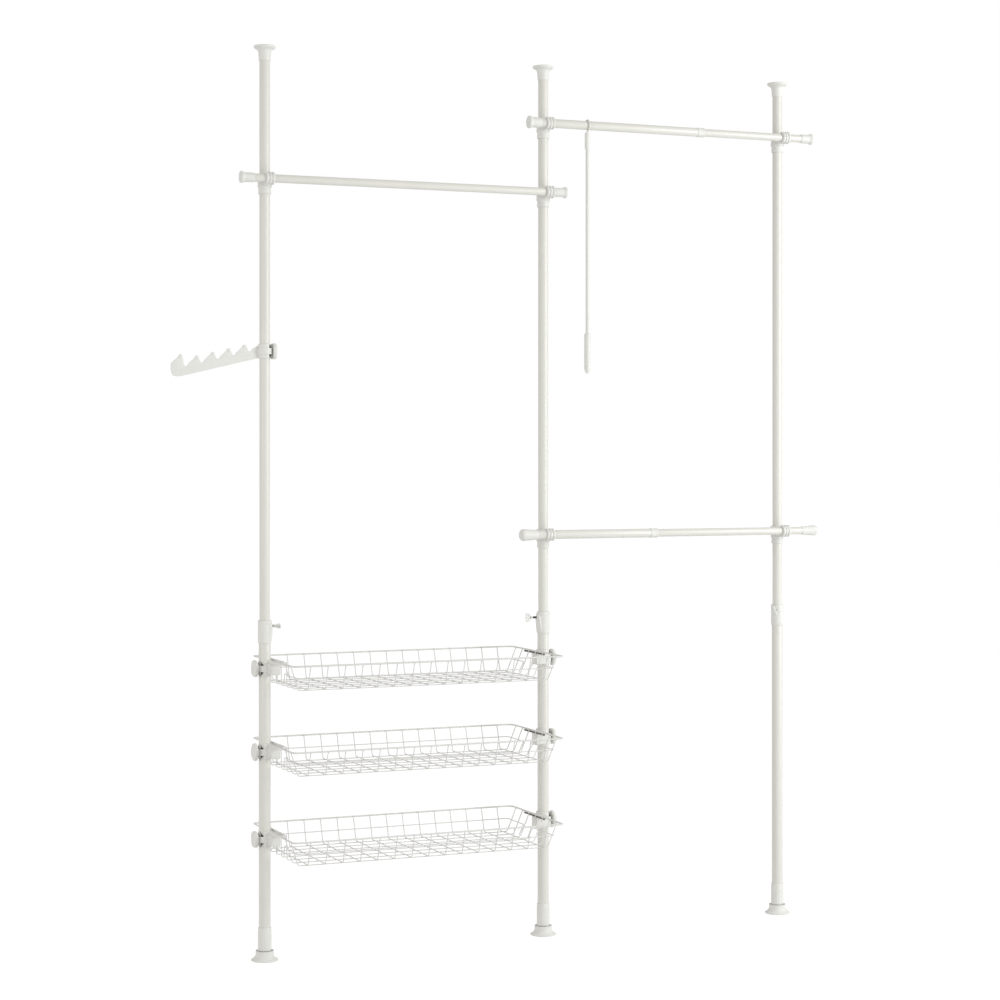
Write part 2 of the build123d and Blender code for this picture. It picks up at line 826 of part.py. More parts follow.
def write_reach_pole():
    """The hook stick that hangs on the upper right rail."""
    at = Pos(reach_pole_x, -rail_offset, rail_2_z)
    write("reach_pole_rod_and_hook", at * reach_pole_rod(), at * reach_pole_hook())
    write("reach_pole_socket_and_grip", at * reach_pole_socket(), at * reach_pole_grip())


os.makedirs("parts", exist_ok=True)
write_poles()
write_upper_left_rail()
write_telescopic_rail("rail_2", rail_2_z, rail_2_left_reach, rail_2_right_reach, rail_2_joint_x, rail_2_overlap,
                      flared_cap)
write_telescopic_rail("rail_3", rail_3_z, rail_3_left_reach, rail_3_right_reach, rail_3_joint_x, rail_3_overlap,
                      cone_cap)
write_shelves()
write_hanger_arm()
write_reach_pole()
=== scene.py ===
import json
import math

import bmesh
import bpy
import numpy as np
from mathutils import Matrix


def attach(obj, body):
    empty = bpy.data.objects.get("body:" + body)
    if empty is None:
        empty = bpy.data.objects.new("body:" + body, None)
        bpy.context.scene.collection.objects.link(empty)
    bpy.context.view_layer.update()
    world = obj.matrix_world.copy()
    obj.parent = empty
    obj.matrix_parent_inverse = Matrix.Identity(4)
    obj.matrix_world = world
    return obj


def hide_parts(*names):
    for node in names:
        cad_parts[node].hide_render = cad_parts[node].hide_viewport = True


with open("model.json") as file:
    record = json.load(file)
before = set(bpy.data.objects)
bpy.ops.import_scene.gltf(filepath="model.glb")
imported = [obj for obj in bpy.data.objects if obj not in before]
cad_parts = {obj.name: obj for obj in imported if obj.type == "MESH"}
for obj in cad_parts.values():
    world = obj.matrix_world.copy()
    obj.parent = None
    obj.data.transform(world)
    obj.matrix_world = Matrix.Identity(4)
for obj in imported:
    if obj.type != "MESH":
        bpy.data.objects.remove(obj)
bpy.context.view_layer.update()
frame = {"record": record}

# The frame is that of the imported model: X along the poles, the front towards -Y,
# +Z up, the origin under the middle pole. Lengths here are in millimetres, and
# finish_mesh turns them into metres.
MM = 0.001
BODIES = frame["record"]["behaviour"]["bodies"]
BODY_OF = {node: body for body, nodes in BODIES.items() for node in nodes}

# Places of the three poles
POLE_X = (-816.0, 0.0, 756.0)

# Direction of each wing screw, how far it stands out, and the roll of its wing
SCREW_TURN = (-20.0, 180.0, 230.0)
SCREW_OUT = (0.0, 10.5, 2.0)
SCREW_ROLL = (62.0, 0.0, 20.0)

# Places and tubes of the three rails
RAIL_Y = -43.0
RAIL_Z = (2082.0, 2274.0, 1125.0)
SLIM_RAIL = 11.0
SLIM_RAIL_BORE = 9.8
WIDE_RAIL = 12.5
WIDE_RAIL_BORE = 11.3

# Heights of the baskets' rims, and the sides of the rim and of the floor below it
RIM_Z = (802.0, 579.5, 347.0)
RIM_LEFT = -792.0
RIM_LEFT_ENDS = -811.0
RIM_RIGHT = -44.0
RIM_FRONT = -230.7
RIM_BACK = 121.7
FLOOR_LEFT = -787.0
FLOOR_RIGHT = -75.0

# Middle of the brackets' arms, height of the hanger arm, and place of the reach pole
BRACKET_Y = -40.0
ARM_Z = 1625.0
REACH_POLE_X = 117.0

# Gap between a tube and what it sits in
FIT_GAP = 0.05

# Points round the poles' and the rails' pieces, and points in a softened corner
POLE_COLUMNS = 96
RAIL_COLUMNS = 80
CORNER_STEPS = 4


# Surfaces

MERGE_DISTANCE = 1e-6
SHARP_ANGLE = 0.7
TINY = 1e-9
SAME_PLACE = 1e-6
LARGEST_CUT = 0.48


def quads(rows, columns, wrap_rows, wrap_columns, first):
    """Corner numbers of the quads of a grid of points, wrapping round where asked."""
    row = np.arange(rows if wrap_rows else rows - 1)[:, None]
    column = np.arange(columns if wrap_columns else columns - 1)[None, :]
    next_row = (row + 1) % rows
    next_column = (column + 1) % columns
    corners = np.broadcast_arrays(row * columns + column, row * columns + next_column,
                                  next_row * columns + next_column, next_row * columns + column)
    return np.stack(corners, -1).reshape(-1, 4) + first


def finish_mesh(name, grids):
    """One object from grids of points, each (points, wrap_rows, wrap_columns). A grid of
    one row is a flat face round those points. Doubles are merged and normals point out."""
    vertices = []
    faces = []
    count = 0
    for points, wrap_rows, wrap_columns in grids:
        rows, columns = points.shape[:2]
        vertices.append(points.reshape(-1, 3))
        if rows == 1:
            faces.append(tuple(range(count, count + columns)))
        else:
            faces.extend(map(tuple, quads(rows, columns, wrap_rows, wrap_columns, count).tolist()))
        count += rows * columns
    mesh = bpy.data.meshes.new(name)
    mesh.from_pydata((np.vstack(vertices) * MM).tolist(), [], faces)
    shell = bmesh.new()
    shell.from_mesh(mesh)
    bmesh.ops.remove_doubles(shell, verts=shell.verts, dist=MERGE_DISTANCE)
    bmesh.ops.recalc_face_normals(shell, faces=shell.faces)
    shell.to_mesh(mesh)
    shell.free()
    mesh.polygons.foreach_set("use_smooth", np.ones(len(mesh.polygons), bool))
    mesh.set_sharp_from_angle(angle=SHARP_ANGLE)
    piece = bpy.data.objects.new(name, mesh)
    bpy.context.scene.collection.objects.link(piece)
    return piece


def softened(points, radius, closed=True, steps=CORNER_STEPS):
    """A line with rounded corners: between two places a radius away from a corner, or less
    on a short edge, runs the parabola that has the corner as its middle control point."""
    points = np.asarray(points, float)
    back = np.roll(points, 1, 0) - points
    ahead = np.roll(points, -1, 0) - points
    back_length = np.linalg.norm(back, axis=1, keepdims=True)
    ahead_length = np.linalg.norm(ahead, axis=1, keepdims=True)
    radius = np.broadcast_to(np.asarray(radius, float).reshape(-1, 1), (len(points), 1))
    back_cut = np.minimum(radius, LARGEST_CUT * back_length)
    ahead_cut = np.minimum(radius, LARGEST_CUT * ahead_length)
    start = points + back / np.maximum(back_length, TINY) * back_cut
    end = points + ahead / np.maximum(ahead_length, TINY) * ahead_cut
    t = np.linspace(0, 1, steps)[None, :, None]
    curve = (1 - t) ** 2 * start[:, None] + 2 * t * (1 - t) * points[:, None]
    curve = curve + t ** 2 * end[:, None]
    if not closed:
        curve[0] = points[0]
        curve[-1] = points[-1]
    line = curve.reshape(-1, points.shape[1])
    keep = np.linalg.norm(np.diff(line, axis=0), axis=1) > SAME_PLACE
    return np.vstack([line[:1], line[1:][keep]])


def full_turn(columns):
    """Angles once round, evenly spaced."""
    return np.linspace(0, 2 * np.pi, columns, endpoint=False)


def arc(centre, radius, start, end, steps):
    """Points on a circle's arc in a plane, from one angle to another in degrees."""
    turn = np.radians(np.linspace(start, end, steps))
    return np.stack([centre[0] + radius * np.cos(turn), centre[1] + radius * np.sin(turn)], -1)


def about_z(radius, angle, height):
    """Points at a radius, an angle and a height about Z."""
    x, y, z = np.broadcast_arrays(radius * np.cos(angle), radius * np.sin(angle), height)
    return np.stack([x, y, z], -1)


def placed(points, at=(0, 0, 0), turn=0.0, flip=False):
    """Points turned about Z by an angle in degrees, mirrored in X if flipped, and moved."""
    cosine, sine = math.cos(math.radians(turn)), math.sin(math.radians(turn))
    x = points[..., 0] * cosine - points[..., 1] * sine
    y = points[..., 0] * sine + points[..., 1] * cosine
    if flip:
        x = -x
    return np.stack([x + at[0], y + at[1], points[..., 2] + at[2]], -1)


def lathe(profile, at=(0, 0, 0), axis="Z", columns=64, flutes=0, depth=0.0, flute_share=1.0):
    """A profile of (place along the axis, radius) turned about the axis. With flutes the
    radius falls by depth times the row's flute share times half of (1 + cosine of the
    flute count times the angle)."""
    profile = np.asarray(profile, float)
    angle = full_turn(columns)[None, :]
    share = np.broadcast_to(np.asarray(flute_share, float), (len(profile),))[:, None]
    place = np.repeat(profile[:, :1], columns, 1)
    radius = profile[:, 1:] - share * depth * (0.5 + 0.5 * np.cos(flutes * angle)) * (flutes > 0)
    across = radius * np.cos(angle)
    up = radius * np.sin(angle)
    order = (across, up, place) if axis == "Z" else (place, across, up)
    return np.stack(order, -1) + np.asarray(at, float)


def turned(profile, radius, **how):
    """A closed ring or solid turned from a profile with softened corners. A profile that
    starts and ends on the axis stays open there, and its end points merge."""
    profile = np.asarray(profile, float)
    solid = profile[0, 1] == 0
    line = softened(profile, radius, closed=not solid)
    return lathe(line, **how), not solid, True


START_SIDE = (0.31, 0.52, 0.79)
ROUND_END = np.radians([0, 35, 65])[:, None, None]


def wire(path, radius, columns, closed=False):
    """A round wire along a path: at each station a ring in the plane square to the path.
    The ring's first direction is carried along without twist. Ends are rounded."""
    path = np.asarray(path, float)
    along = np.roll(path, -1, 0) - np.roll(path, 1, 0)
    if not closed:
        along[0], along[-1] = path[1] - path[0], path[-1] - path[-2]
    along /= np.linalg.norm(along, axis=1, keepdims=True)
    side = np.zeros_like(along)
    side[0] = np.cross(along[0], START_SIDE)
    for station in range(1, len(path)):
        side[station] = side[station - 1] - along[station] * (side[station - 1] @ along[station])
        side[station] /= np.linalg.norm(side[station])
    side /= np.linalg.norm(side, axis=1, keepdims=True)
    up = np.cross(along, side)
    angle = full_turn(columns)[None, :, None]
    ring = radius * (np.cos(angle) * side[:, None] + np.sin(angle) * up[:, None])
    if closed:
        return path[:, None] + ring, True, True
    share = np.sin(ROUND_END)
    out = radius * np.cos(ROUND_END)
    first = path[0] - along[0] * out + ring[0] * share
    last = path[-1] + along[-1] * out[::-1] + ring[-1] * share[::-1]
    return np.concatenate([first, path[:, None] + ring, last]), False, True


BEAD_COLUMNS = 8


def beads(centres, radii):
    """Weld beads: one ball of points times three radii, added to each centre."""
    up = np.linspace(0, np.pi, 6)[:, None]
    turn = full_turn(BEAD_COLUMNS)[None, :]
    ball = np.stack([np.sin(up) * np.cos(turn), np.sin(up) * np.sin(turn),
                     np.repeat(np.cos(up), BEAD_COLUMNS, 1)], -1)
    bead = ball * np.asarray(radii, float)
    return [(bead + centre, False, True) for centre in np.asarray(centres, float)]


def inset(outline, distance):
    """A closed flat outline, each point moved inwards along the mean of the normals of
    its two edges, further where the corner is sharp."""
    ahead = np.roll(outline, -1, 0) - outline
    ahead /= np.linalg.norm(ahead, axis=1, keepdims=True)
    normal = np.stack([-ahead[:, 1], ahead[:, 0]], -1)
    mean = normal + np.roll(normal, 1, 0)
    mean /= np.maximum(np.linalg.norm(mean, axis=1, keepdims=True), TINY)
    square = np.maximum((mean * normal).sum(1, keepdims=True), 0.5)
    x, y = outline.T
    area = (x * np.roll(y, -1) - np.roll(x, -1) * y).sum()
    return outline + mean / square * distance * (1 if area > 0 else -1)


def plate(outline, low, high, edge, plane="XY"):
    """A flat outline carried between two levels, its edges rounded: at an angle t of the
    edge the outline is inset by edge * (1 - sin t) at a level edge * (1 - cos t) inside."""
    t = np.linspace(0, np.pi / 2, CORNER_STEPS)
    rows = [(low + edge * (1 - math.sin(a)), edge * (1 - math.cos(a))) for a in t[::-1]]
    rows += [(high - edge * (1 - math.sin(a)), edge * (1 - math.cos(a))) for a in t]
    rings = []
    for level, distance in rows:
        ring = inset(np.asarray(outline, float), distance)
        first, second = ring.T
        third = np.full(len(ring), level)
        order = (first, second, third) if plane == "XY" else (first, third, second)
        rings.append(np.stack(order, -1))
    rings = np.stack(rings)
    return [(rings, False, True), (rings[:1], False, True), (rings[-1:], False, True)]


def arc_band(profile, start, end, columns):
    """A closed profile of (height, radius) turned through part of a circle about Z, its
    ends closed."""
    profile = np.asarray(profile, float)
    angle = np.radians(np.linspace(start, end, columns))[:, None]
    height, radius = profile[None, :, 0], profile[None, :, 1]
    points = about_z(radius, angle, height)
    return [(points, False, True), (points[:1], False, True), (points[-1:], False, True)]


def closed_ends(rings):
    """Rings of points joined to a tube whose ends close in their middles."""
    first, last = (np.broadcast_to(ring.mean(1, keepdims=True), ring.shape)
                   for ring in (rings[:1], rings[-1:]))
    return np.concatenate([first, rings, last]), False, True


def bar_on_y(stations, left, right, low, high, power=8.0, columns=32):
    """A bar along Y. Its section at each station is the curve |x| ^ power + |z| ^ power = 1
    stretched from left to right and from low to high. Both ends close in their middles."""
    turn = full_turn(columns)[None, :]
    across = np.sign(np.cos(turn)) * np.abs(np.cos(turn)) ** (2 / power)
    up = np.sign(np.sin(turn)) * np.abs(np.sin(turn)) ** (2 / power)
    stations, left, right, low, high = (values[:, None] for values in np.broadcast_arrays(
        np.asarray(stations, float), left, right, low, high))
    x = (left + right) / 2 + (right - left) / 2 * across
    z = (low + high) / 2 + (high - low) / 2 * up
    return closed_ends(np.stack([x, np.repeat(stations, columns, 1), z], -1))


def moved(grids, at=(0, 0, 0), turn=0.0, flip=False):
    """The same grids turned, mirrored and moved."""
    return [(placed(points, at, turn, flip), rows, columns) for points, rows, columns in grids]


def ring_profile(low, high, inner, outer):
    """The four corners of a ring's section, as (place, radius)."""
    return [(low, inner), (low, outer), (high, outer), (high, inner)]


# Finishes

def add(nodes, kind, inputs=None, **settings):
    """A shader node, with its settings and the values of its named or numbered inputs."""
    node = nodes.new("ShaderNode" + kind)
    for name, value in settings.items():
        setattr(node, name, value)
    for name, value in (inputs or {}).items():
        node.inputs[name].default_value = value
    return node


def powder_group():
    """Coat of a painted or moulded surface: fine peel for the bump, a slow drift between
    two tones with small specks of the second, and a roughness that follows the peel."""
    tree = bpy.data.node_groups.new("coat", "ShaderNodeTree")
    for way, kind, labels in (
        ("INPUT", "NodeSocketColor", ("Tone", "Shade")),
        ("INPUT", "NodeSocketFloat", ("Peel Scale", "Drift Scale", "Roughness")),
        ("OUTPUT", "NodeSocketColor", ("Color",)),
        ("OUTPUT", "NodeSocketFloat", ("Roughness", "Height")),
    ):
        for label in labels:
            tree.interface.new_socket(name=label, in_out=way, socket_type=kind)
    nodes, link = tree.nodes, tree.links.new
    source = nodes.new("NodeGroupInput").outputs
    result = nodes.new("NodeGroupOutput").inputs
    place = add(nodes, "TexCoord")
    peel = add(nodes, "TexNoise", {"Detail": 2})
    drift = add(nodes, "TexNoise", {"Detail": 5})
    speck = add(nodes, "TexNoise", {"Scale": 160})
    specks = add(nodes, "MapRange", {"From Min": 0.62, "From Max": 0.80, "To Max": 0.5})
    amount = add(nodes, "Math", operation="MAXIMUM")
    tone = add(nodes, "Mix", data_type="RGBA")
    rough = add(nodes, "Math", {1: 0.12}, operation="MULTIPLY_ADD")
    for noise in (peel, drift, speck):
        link(place.outputs["Object"], noise.inputs["Vector"])
    link(source["Peel Scale"], peel.inputs["Scale"])
    link(source["Drift Scale"], drift.inputs["Scale"])
    link(speck.outputs["Fac"], specks.inputs["Value"])
    link(drift.outputs["Fac"], amount.inputs[0])
    link(specks.outputs["Result"], amount.inputs[1])
    link(amount.outputs[0], tone.inputs["Factor"])
    link(source["Tone"], tone.inputs["A"])
    link(source["Shade"], tone.inputs["B"])
    link(peel.outputs["Fac"], rough.inputs[0])
    link(source["Roughness"], rough.inputs[2])
    link(tone.outputs["Result"], result["Color"])
    link(rough.outputs[0], result["Roughness"])
    link(peel.outputs["Fac"], result["Height"])
    return tree


COAT = powder_group()


def finish(name, tone, shade, peel_scale, drift_scale, roughness, bump_depth, coat, metallic):
    """A material whose colour, roughness and bump come from the shared coat group."""
    material = bpy.data.materials.new(name)
    material.use_nodes = True
    nodes, link = material.node_tree.nodes, material.node_tree.links.new
    shader = nodes["Principled BSDF"].inputs
    shader["Metallic"].default_value = metallic
    shader["Coat Weight"].default_value = coat
    shader["Coat Roughness"].default_value = 0.22
    effect = add(nodes, "Group", {
        "Tone": (*tone, 1), "Shade": (*shade, 1), "Peel Scale": peel_scale,
        "Drift Scale": drift_scale, "Roughness": roughness,
    }, node_tree=COAT)
    bump = add(nodes, "Bump", {"Strength": 0.4, "Distance": bump_depth})
    link(effect.outputs["Color"], shader["Base Color"])
    link(effect.outputs["Roughness"], shader["Roughness"])
    link(effect.outputs["Height"], bump.inputs["Height"])
    link(bump.outputs["Normal"], shader["Normal"])
    return material


# Each finish: its name and slot, then tone, shade, peel scale, drift scale, roughness, bump
# depth in metres, share of clear coat, and metal
FINISH = {}
for name, slot, *look in (
    ("tube_white", "white_steel", (0.77, 0.765, 0.725), (0.73, 0.72, 0.68), 900, 8, 0.30, 5e-5, 0.2, 0),
    ("moulded_white", "white_plastic", (0.81, 0.81, 0.785), (0.77, 0.765, 0.74), 1500, 14, 0.42, 4e-5, 0, 0),
    ("wire_white", "white_wire", (0.77, 0.765, 0.75), (0.71, 0.705, 0.69), 1200, 20, 0.34, 5e-5, 0.1, 0),
    ("rod_white", "white_steel", (0.77, 0.77, 0.74), (0.73, 0.73, 0.70), 1000, 12, 0.34, 4e-5, 0.1, 0),
    ("pad_black", "black_rubber", (0.01, 0.01, 0.01), (0.022, 0.021, 0.02), 700, 30, 0.60, 1e-4, 0, 0),
    # The next finish is painted shade: the brown-black of the shaded gap under a basket's rim wire where it
    # rests on a bracket's wing. It is no rubber part, though its slot says rubber.
    ("seat_dark", "black_rubber", (0.09, 0.08, 0.07), (0.13, 0.12, 0.11), 700, 30, 0.60, 1e-4, 0, 0),
    ("screw_dark", "grey_steel", (0.05, 0.05, 0.052), (0.11, 0.11, 0.11), 600, 60, 0.32, 6e-5, 0, 0.9),
    ("spindle_steel", "grey_steel", (0.52, 0.53, 0.54), (0.40, 0.41, 0.42), 600, 40, 0.28, 6e-5, 0, 1.0),
):
    FINISH[name] = finish(name, *look)


def piece(name, grids, look, *stands_for, body=None):
    """A finished piece: its mesh, finish, the CAD nodes it stands for, and the body
    it rides on, which is that of the first of those nodes unless one is given."""
    item = finish_mesh(name, grids)
    item.data.materials.append(FINISH[look])
    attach(item, body or BODY_OF[stands_for[0]])
    if stands_for:
        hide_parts(*stands_for)


# Poles

# Tubes: radius, bore, and heights of the ends
LOWER_TUBE = (16.0, 14.5, 56.1, 878)
UPPER_TUBE = (14.1, 12.6, 430, 2431)
TUBE_EDGE = 0.35


def tube_on_z(x, outer, bore, low, high):
    """A round tube along Z with softened ends."""
    return turned(ring_profile(low, high, bore, outer), TUBE_EDGE, at=(x, 0, 0), columns=POLE_COLUMNS)


for node, poles, tube in (
    ("left_lower_tubes", POLE_X[:2], LOWER_TUBE),
    ("left_upper_tubes", POLE_X[:2], UPPER_TUBE),
    ("right_lower_tube", POLE_X[2:], LOWER_TUBE),
    ("right_upper_tube", POLE_X[2:], UPPER_TUBE),
):
    piece(node + "_drawn", [tube_on_z(x, *tube) for x in poles], "tube_white", node)

# The foot's disc as (height, radius): rounded rim, cone up to the cup, a lip and a shallow
# well round the spindle.
FOOT = [(0, 0), (0, 34.5), (1.0, 36.5), (3.0, 36.3), (4.6, 33.2), (7.6, 29.4), (10.8, 26.6),
        (13.5, 24.8), (19.5, 24.0), (26.5, 24.4), (26.5, 22.6), (23.6, 21.8), (23.2, 20.0),
        (23.2, 10.2), (25.0, 9.4), (25.0, 0)]

# The adjuster as (height, radius), and its fluted wall
ADJUSTER = [(26.8, 8.3), (26.8, 17.6), (28.4, 18.3), (76.5, 18.3), (79.0, 17.7), (86.6, 17.7),
            (88.3, 17.0), (88.3, 16.3), (55.8, 16.3), (55.8, 8.3)]
FLUTED = (28.4, 76.5)
FLUTED_RADIUS = 18.3
FLUTED_MARGIN = 0.8
ADDED_ROWS = 7


def adjuster(x):
    """The adjuster, turned from its profile, with shallow flutes in its wall. Rows are
    added along the wall's one long run."""
    line = softened(ADJUSTER, 0.7)
    height, radius = line.T
    inside = (height > FLUTED[0] - FLUTED_MARGIN) & (height < FLUTED[1] + FLUTED_MARGIN)
    fluted = inside & (radius > 17.9)
    long_run = np.abs(np.roll(height, -1) - height) > 40
    wall = int(np.flatnonzero(long_run & fluted)[0])
    stops = np.linspace(height[wall], height[(wall + 1) % len(line)], ADDED_ROWS + 2)[1:-1]
    added = np.stack([stops, np.full(ADDED_ROWS, FLUTED_RADIUS)], -1)
    share = np.insert(fluted.astype(float), wall + 1, np.ones(ADDED_ROWS))
    line = np.insert(line, wall + 1, added, 0)
    grip = lathe(line, (x, 0, 0), columns=192, flutes=16, depth=0.5, flute_share=share)
    return grip, True, True


def thread(x, radius, depth, pitch, low, high, columns=24):
    """A screw thread. The phase is the part after the point of (height / pitch - angle /
    360). The radius falls by depth times a share: 2.6 times the phase's distance from a
    half, less 0.3, kept between 0 and 1."""
    height = np.arange(low, high, pitch / 6)[:, None]
    angle = full_turn(columns)[None, :]
    phase = (height / pitch - angle / (2 * np.pi)) % 1
    worn = np.clip(2.6 * np.abs(phase - 0.5) - 0.3, 0, 1)
    points = about_z(radius - depth * worn, angle, height) + (x, 0, 0)
    first = points[:1] * (0, 0, 1) + (x, 0, 0)
    last = points[-1:] * (0, 0, 1) + (x, 0, 0)
    return np.concatenate([first, points, last]), False, True


for number, x in enumerate(POLE_X, start=1):
    foot = f"foot_{number}"
    grip = f"adjuster_{number}"
    disc = turned(FOOT, 1.0, at=(x, 0, 0), columns=POLE_COLUMNS)
    piece(foot + "_disc", [disc], "moulded_white", foot)
    spindle = thread(x, radius=8.0, depth=1.0, pitch=3.0, low=24.6, high=146.4)
    piece(foot + "_spindle", [spindle], "spindle_steel", body=BODY_OF[foot])
    piece(grip + "_nut", [adjuster(x)], "moulded_white", grip)

# The sleeve as (height, radius): a rim at the top, a plain wall, a tapered foot, and a
# step inside that rests on the lower tube.
SLEEVE = [(846, 16.05), (846, 17.0), (849.8, 18.2), (898.5, 18.2), (899.6, 18.6), (905.6, 18.6),
          (907, 17.8), (907, 14.4), (878, 14.4), (878, 16.05)]
SCREW_Z = 892.0


def panel(x, turn):
    """The raised panel round the screw, as a patch over (angle, height). Its half angle
    grows from 42 degrees at the top to 62 at the foot. Its reach is a smooth step in from
    the sides times a small ledge and a rise that starts under the rim, is greatest a
    quarter of the way down and falls away to the foot."""
    down = np.linspace(0, 1, 41)[:, None]
    side = np.linspace(-1, 1, 49)[None, :]
    height = 903.0 - 54.0 * down
    angle = side * np.radians(42 + 20 * down)
    step = np.clip((1 - np.abs(side)) / 0.22, 0, 1)
    step = step * step * (3 - 2 * step)
    rise = np.interp(down, (0, 0.10, 0.24, 0.85, 1), (0, 2.2, 3.8, 1.3, 0))
    radius = 17.9 + 0.25 * step + step * rise
    outer = about_z(radius, angle, height)
    inner = outer * (17.0 / radius[..., None])
    inner[..., 2] = outer[..., 2]
    grids = [(np.concatenate([outer, inner[:, ::-1]], 1), False, True)]
    grids += [(np.stack([outer[row], inner[row]]), False, False) for row in (0, -1)]
    return moved(grids, (x, 0, 0), turn)


# The wing's outline as (distance from the pole's axis, height from the screw's), and its
# rows as (share of the outline, level of the face)
WING_OUTLINE = [(24, -3.2), (30, -5.8), (34.0, -12.0), (41.5, -12.6), (43, -10.5), (43, 10.5),
                (41.5, 12.6), (34.0, 12.0), (30, 5.8), (24, 3.2)]
WING_ROWS = ((0.0, 0.8), (0.60, 0.8), (0.70, 1.0), (0.76, 2.1), (0.82, 2.25), (0.93, 2.2),
             (0.985, 1.7), (1.0, 0.9))
HUB = [(23.2, 0), (23.2, 3.8), (27.5, 4.8), (27.5, 0)]


def wing(x, turn, out, roll):
    """The fan-shaped wing: both faces have a raised rim round a sunk middle. Row by row
    the outline shrinks towards its own middle while the level changes. The whole is rolled
    about the screw's axis and stands out by a distance."""
    outline = softened(WING_OUTLINE, 1.6, steps=5)
    middle = np.array([36.5, 0.0])
    rows = []
    for share, level in WING_ROWS:
        ring = middle + (outline - middle) * share
        rows.append(np.stack([ring[:, 0], np.full(len(ring), level), ring[:, 1]], -1))
    front = np.stack(rows)
    back = front[::-1] * (1, -1, 1)
    along, across, up = np.moveaxis(np.concatenate([front, back]), -1, 0)
    cosine, sine = math.cos(math.radians(roll)), math.sin(math.radians(roll))
    rolled = np.stack([along + out, across * cosine - up * sine, across * sine + up * cosine], -1)
    return placed(rolled, (x, 0, SCREW_Z), turn), False, True


def hub(x, turn, out):
    """The wing's round hub in front of the sleeve."""
    grid, rows, columns = turned(HUB, 0.6, axis="X", columns=32)
    return placed(grid + (out, 0, 0), (x, 0, SCREW_Z), turn), rows, columns


def shank(x, turn, out):
    """The screw's threaded shank, from the upper tube out to the wing."""
    grid, rows, columns = thread(0.0, radius=3.0, depth=0.4, pitch=1.25, low=14.4,
                                 high=28.0 + out, columns=20)
    return placed(grid[..., [2, 1, 0]], (x, 0, SCREW_Z), turn), rows, columns


def sleeve(x, turn):
    """The sleeve's ring and its panel."""
    return [turned(SLEEVE, 0.5, at=(x, 0, 0), columns=POLE_COLUMNS), *panel(x, turn)]


piece("left_sleeves_moulded", sleeve(POLE_X[0], SCREW_TURN[0]) + sleeve(POLE_X[1], SCREW_TURN[1]),
      "moulded_white", "left_sleeves")
piece("right_sleeve_moulded", sleeve(POLE_X[2], SCREW_TURN[2]),
      "moulded_white", "right_sleeve")
screws = zip(POLE_X, SCREW_TURN, SCREW_OUT, SCREW_ROLL)
for number, (x, turn, out, roll) in enumerate(screws, start=1):
    node = f"wing_screw_{number}"
    piece(node + "_wing", [wing(x, turn, out, roll), hub(x, turn, out)], "moulded_white",
          node)
    piece(node + "_shank", [shank(x, turn, out)], "screw_dark", body=BODY_OF[node])

# The ceiling cap as (height, radius): a barrel on the tube, a trumpet flare, a thick rim,
# and a groove in its top.
CEILING_CAP = [(2400, 14.15), (2400, 15.2), (2400.8, 15.8), (2413, 16.3), (2423, 17.0),
               (2427.5, 19.0), (2430.5, 22.8), (2432.6, 27.0), (2434.4, 29.0), (2436.4, 29.6),
               (2438.9, 29.4), (2440, 28.2), (2440, 24.2), (2439.2, 23.6), (2439.2, 22.4),
               (2440, 21.8), (2440, 0)]
CAP_SEAT = [(2431, 0), (2431, 14.15), (2400, 14.15)]


def ceiling_cap(x):
    """The cap's outside from the seat to the middle of its top, and the seat's lining."""
    outside = softened(CEILING_CAP, 1.2, closed=False)
    inside = np.array(CAP_SEAT, float)
    line = np.vstack([inside, outside[1:]])
    return lathe(line, (x, 0, 0), columns=POLE_COLUMNS), False, True


piece("left_ceiling_caps_moulded", [ceiling_cap(x) for x in POLE_X[:2]],
      "moulded_white", "left_ceiling_caps")
piece("right_ceiling_cap_moulded", [ceiling_cap(POLE_X[2])],
      "moulded_white", "right_ceiling_cap")


# Rails

CAP_FLOOR = 4


def shifted(profile, start, way=1):
    """A profile of (place, radius) run from a start in a way along the axis, 1 or -1."""
    return [(start + way * place, size) for place, size in profile]


def on_rail(profile, radius, z, columns=RAIL_COLUMNS):
    """A ring or solid turned about a rail's axis, its corners softened by a radius."""
    return turned(profile, radius, at=(0, RAIL_Y, z), axis="X", columns=columns)


def tube_on_x(left, right, outer, bore, z):
    """A round tube along X with softened ends."""
    return on_rail(ring_profile(left, right, bore, outer), TUBE_EDGE, z)


def flared_cap(end, radius, inward, z):
    """A barrel with a rimmed, slightly dished end. Inward is the way to its tube."""
    outer = radius + 1.8
    rim = outer + 3
    seat = radius + FIT_GAP
    profile = [(1.4, 0), (1.4, rim - 3.6), (0.2, rim - 2.6), (0, rim - 1.2), (1.6, rim),
               (5.4, rim), (8.2, outer + 1.4), (12.5, outer), (35.5, outer), (38, outer - 0.8),
               (38, seat), (CAP_FLOOR, seat), (CAP_FLOOR, 0)]
    line = softened(shifted(profile, end, inward), 0.9, closed=False)
    return lathe(line, (0, RAIL_Y, z), "X", RAIL_COLUMNS), False, True


def cone_cap(end, radius, inward, z, flutes):
    """A long tapered cap with a rounded nose, and fine flutes along it where asked."""
    slim = radius + 0.8
    wide = slim + 3.4
    seat = radius + FIT_GAP
    profile = [(0, 0), (0, wide - 5.4), (1.6, wide - 3.0), (5.0, wide - 0.8), (9.0, wide),
               (14.0, wide - 0.4), (30.0, (slim + wide) / 2), (49.5, slim + 0.25),
               (52, slim - 0.2), (52, seat), (CAP_FLOOR, seat), (CAP_FLOOR, 0)]
    line = softened(shifted(profile, end, inward), 1.2, closed=False)
    place = np.abs(line[:, 0] - end)
    fluted = ((line[:, 1] > slim + 0.2) & (place > 8) & (place < 49)).astype(float)
    columns = 120 if flutes else RAIL_COLUMNS
    return lathe(line, (0, RAIL_Y, z), "X", columns, flutes, 0.5, fluted), False, True


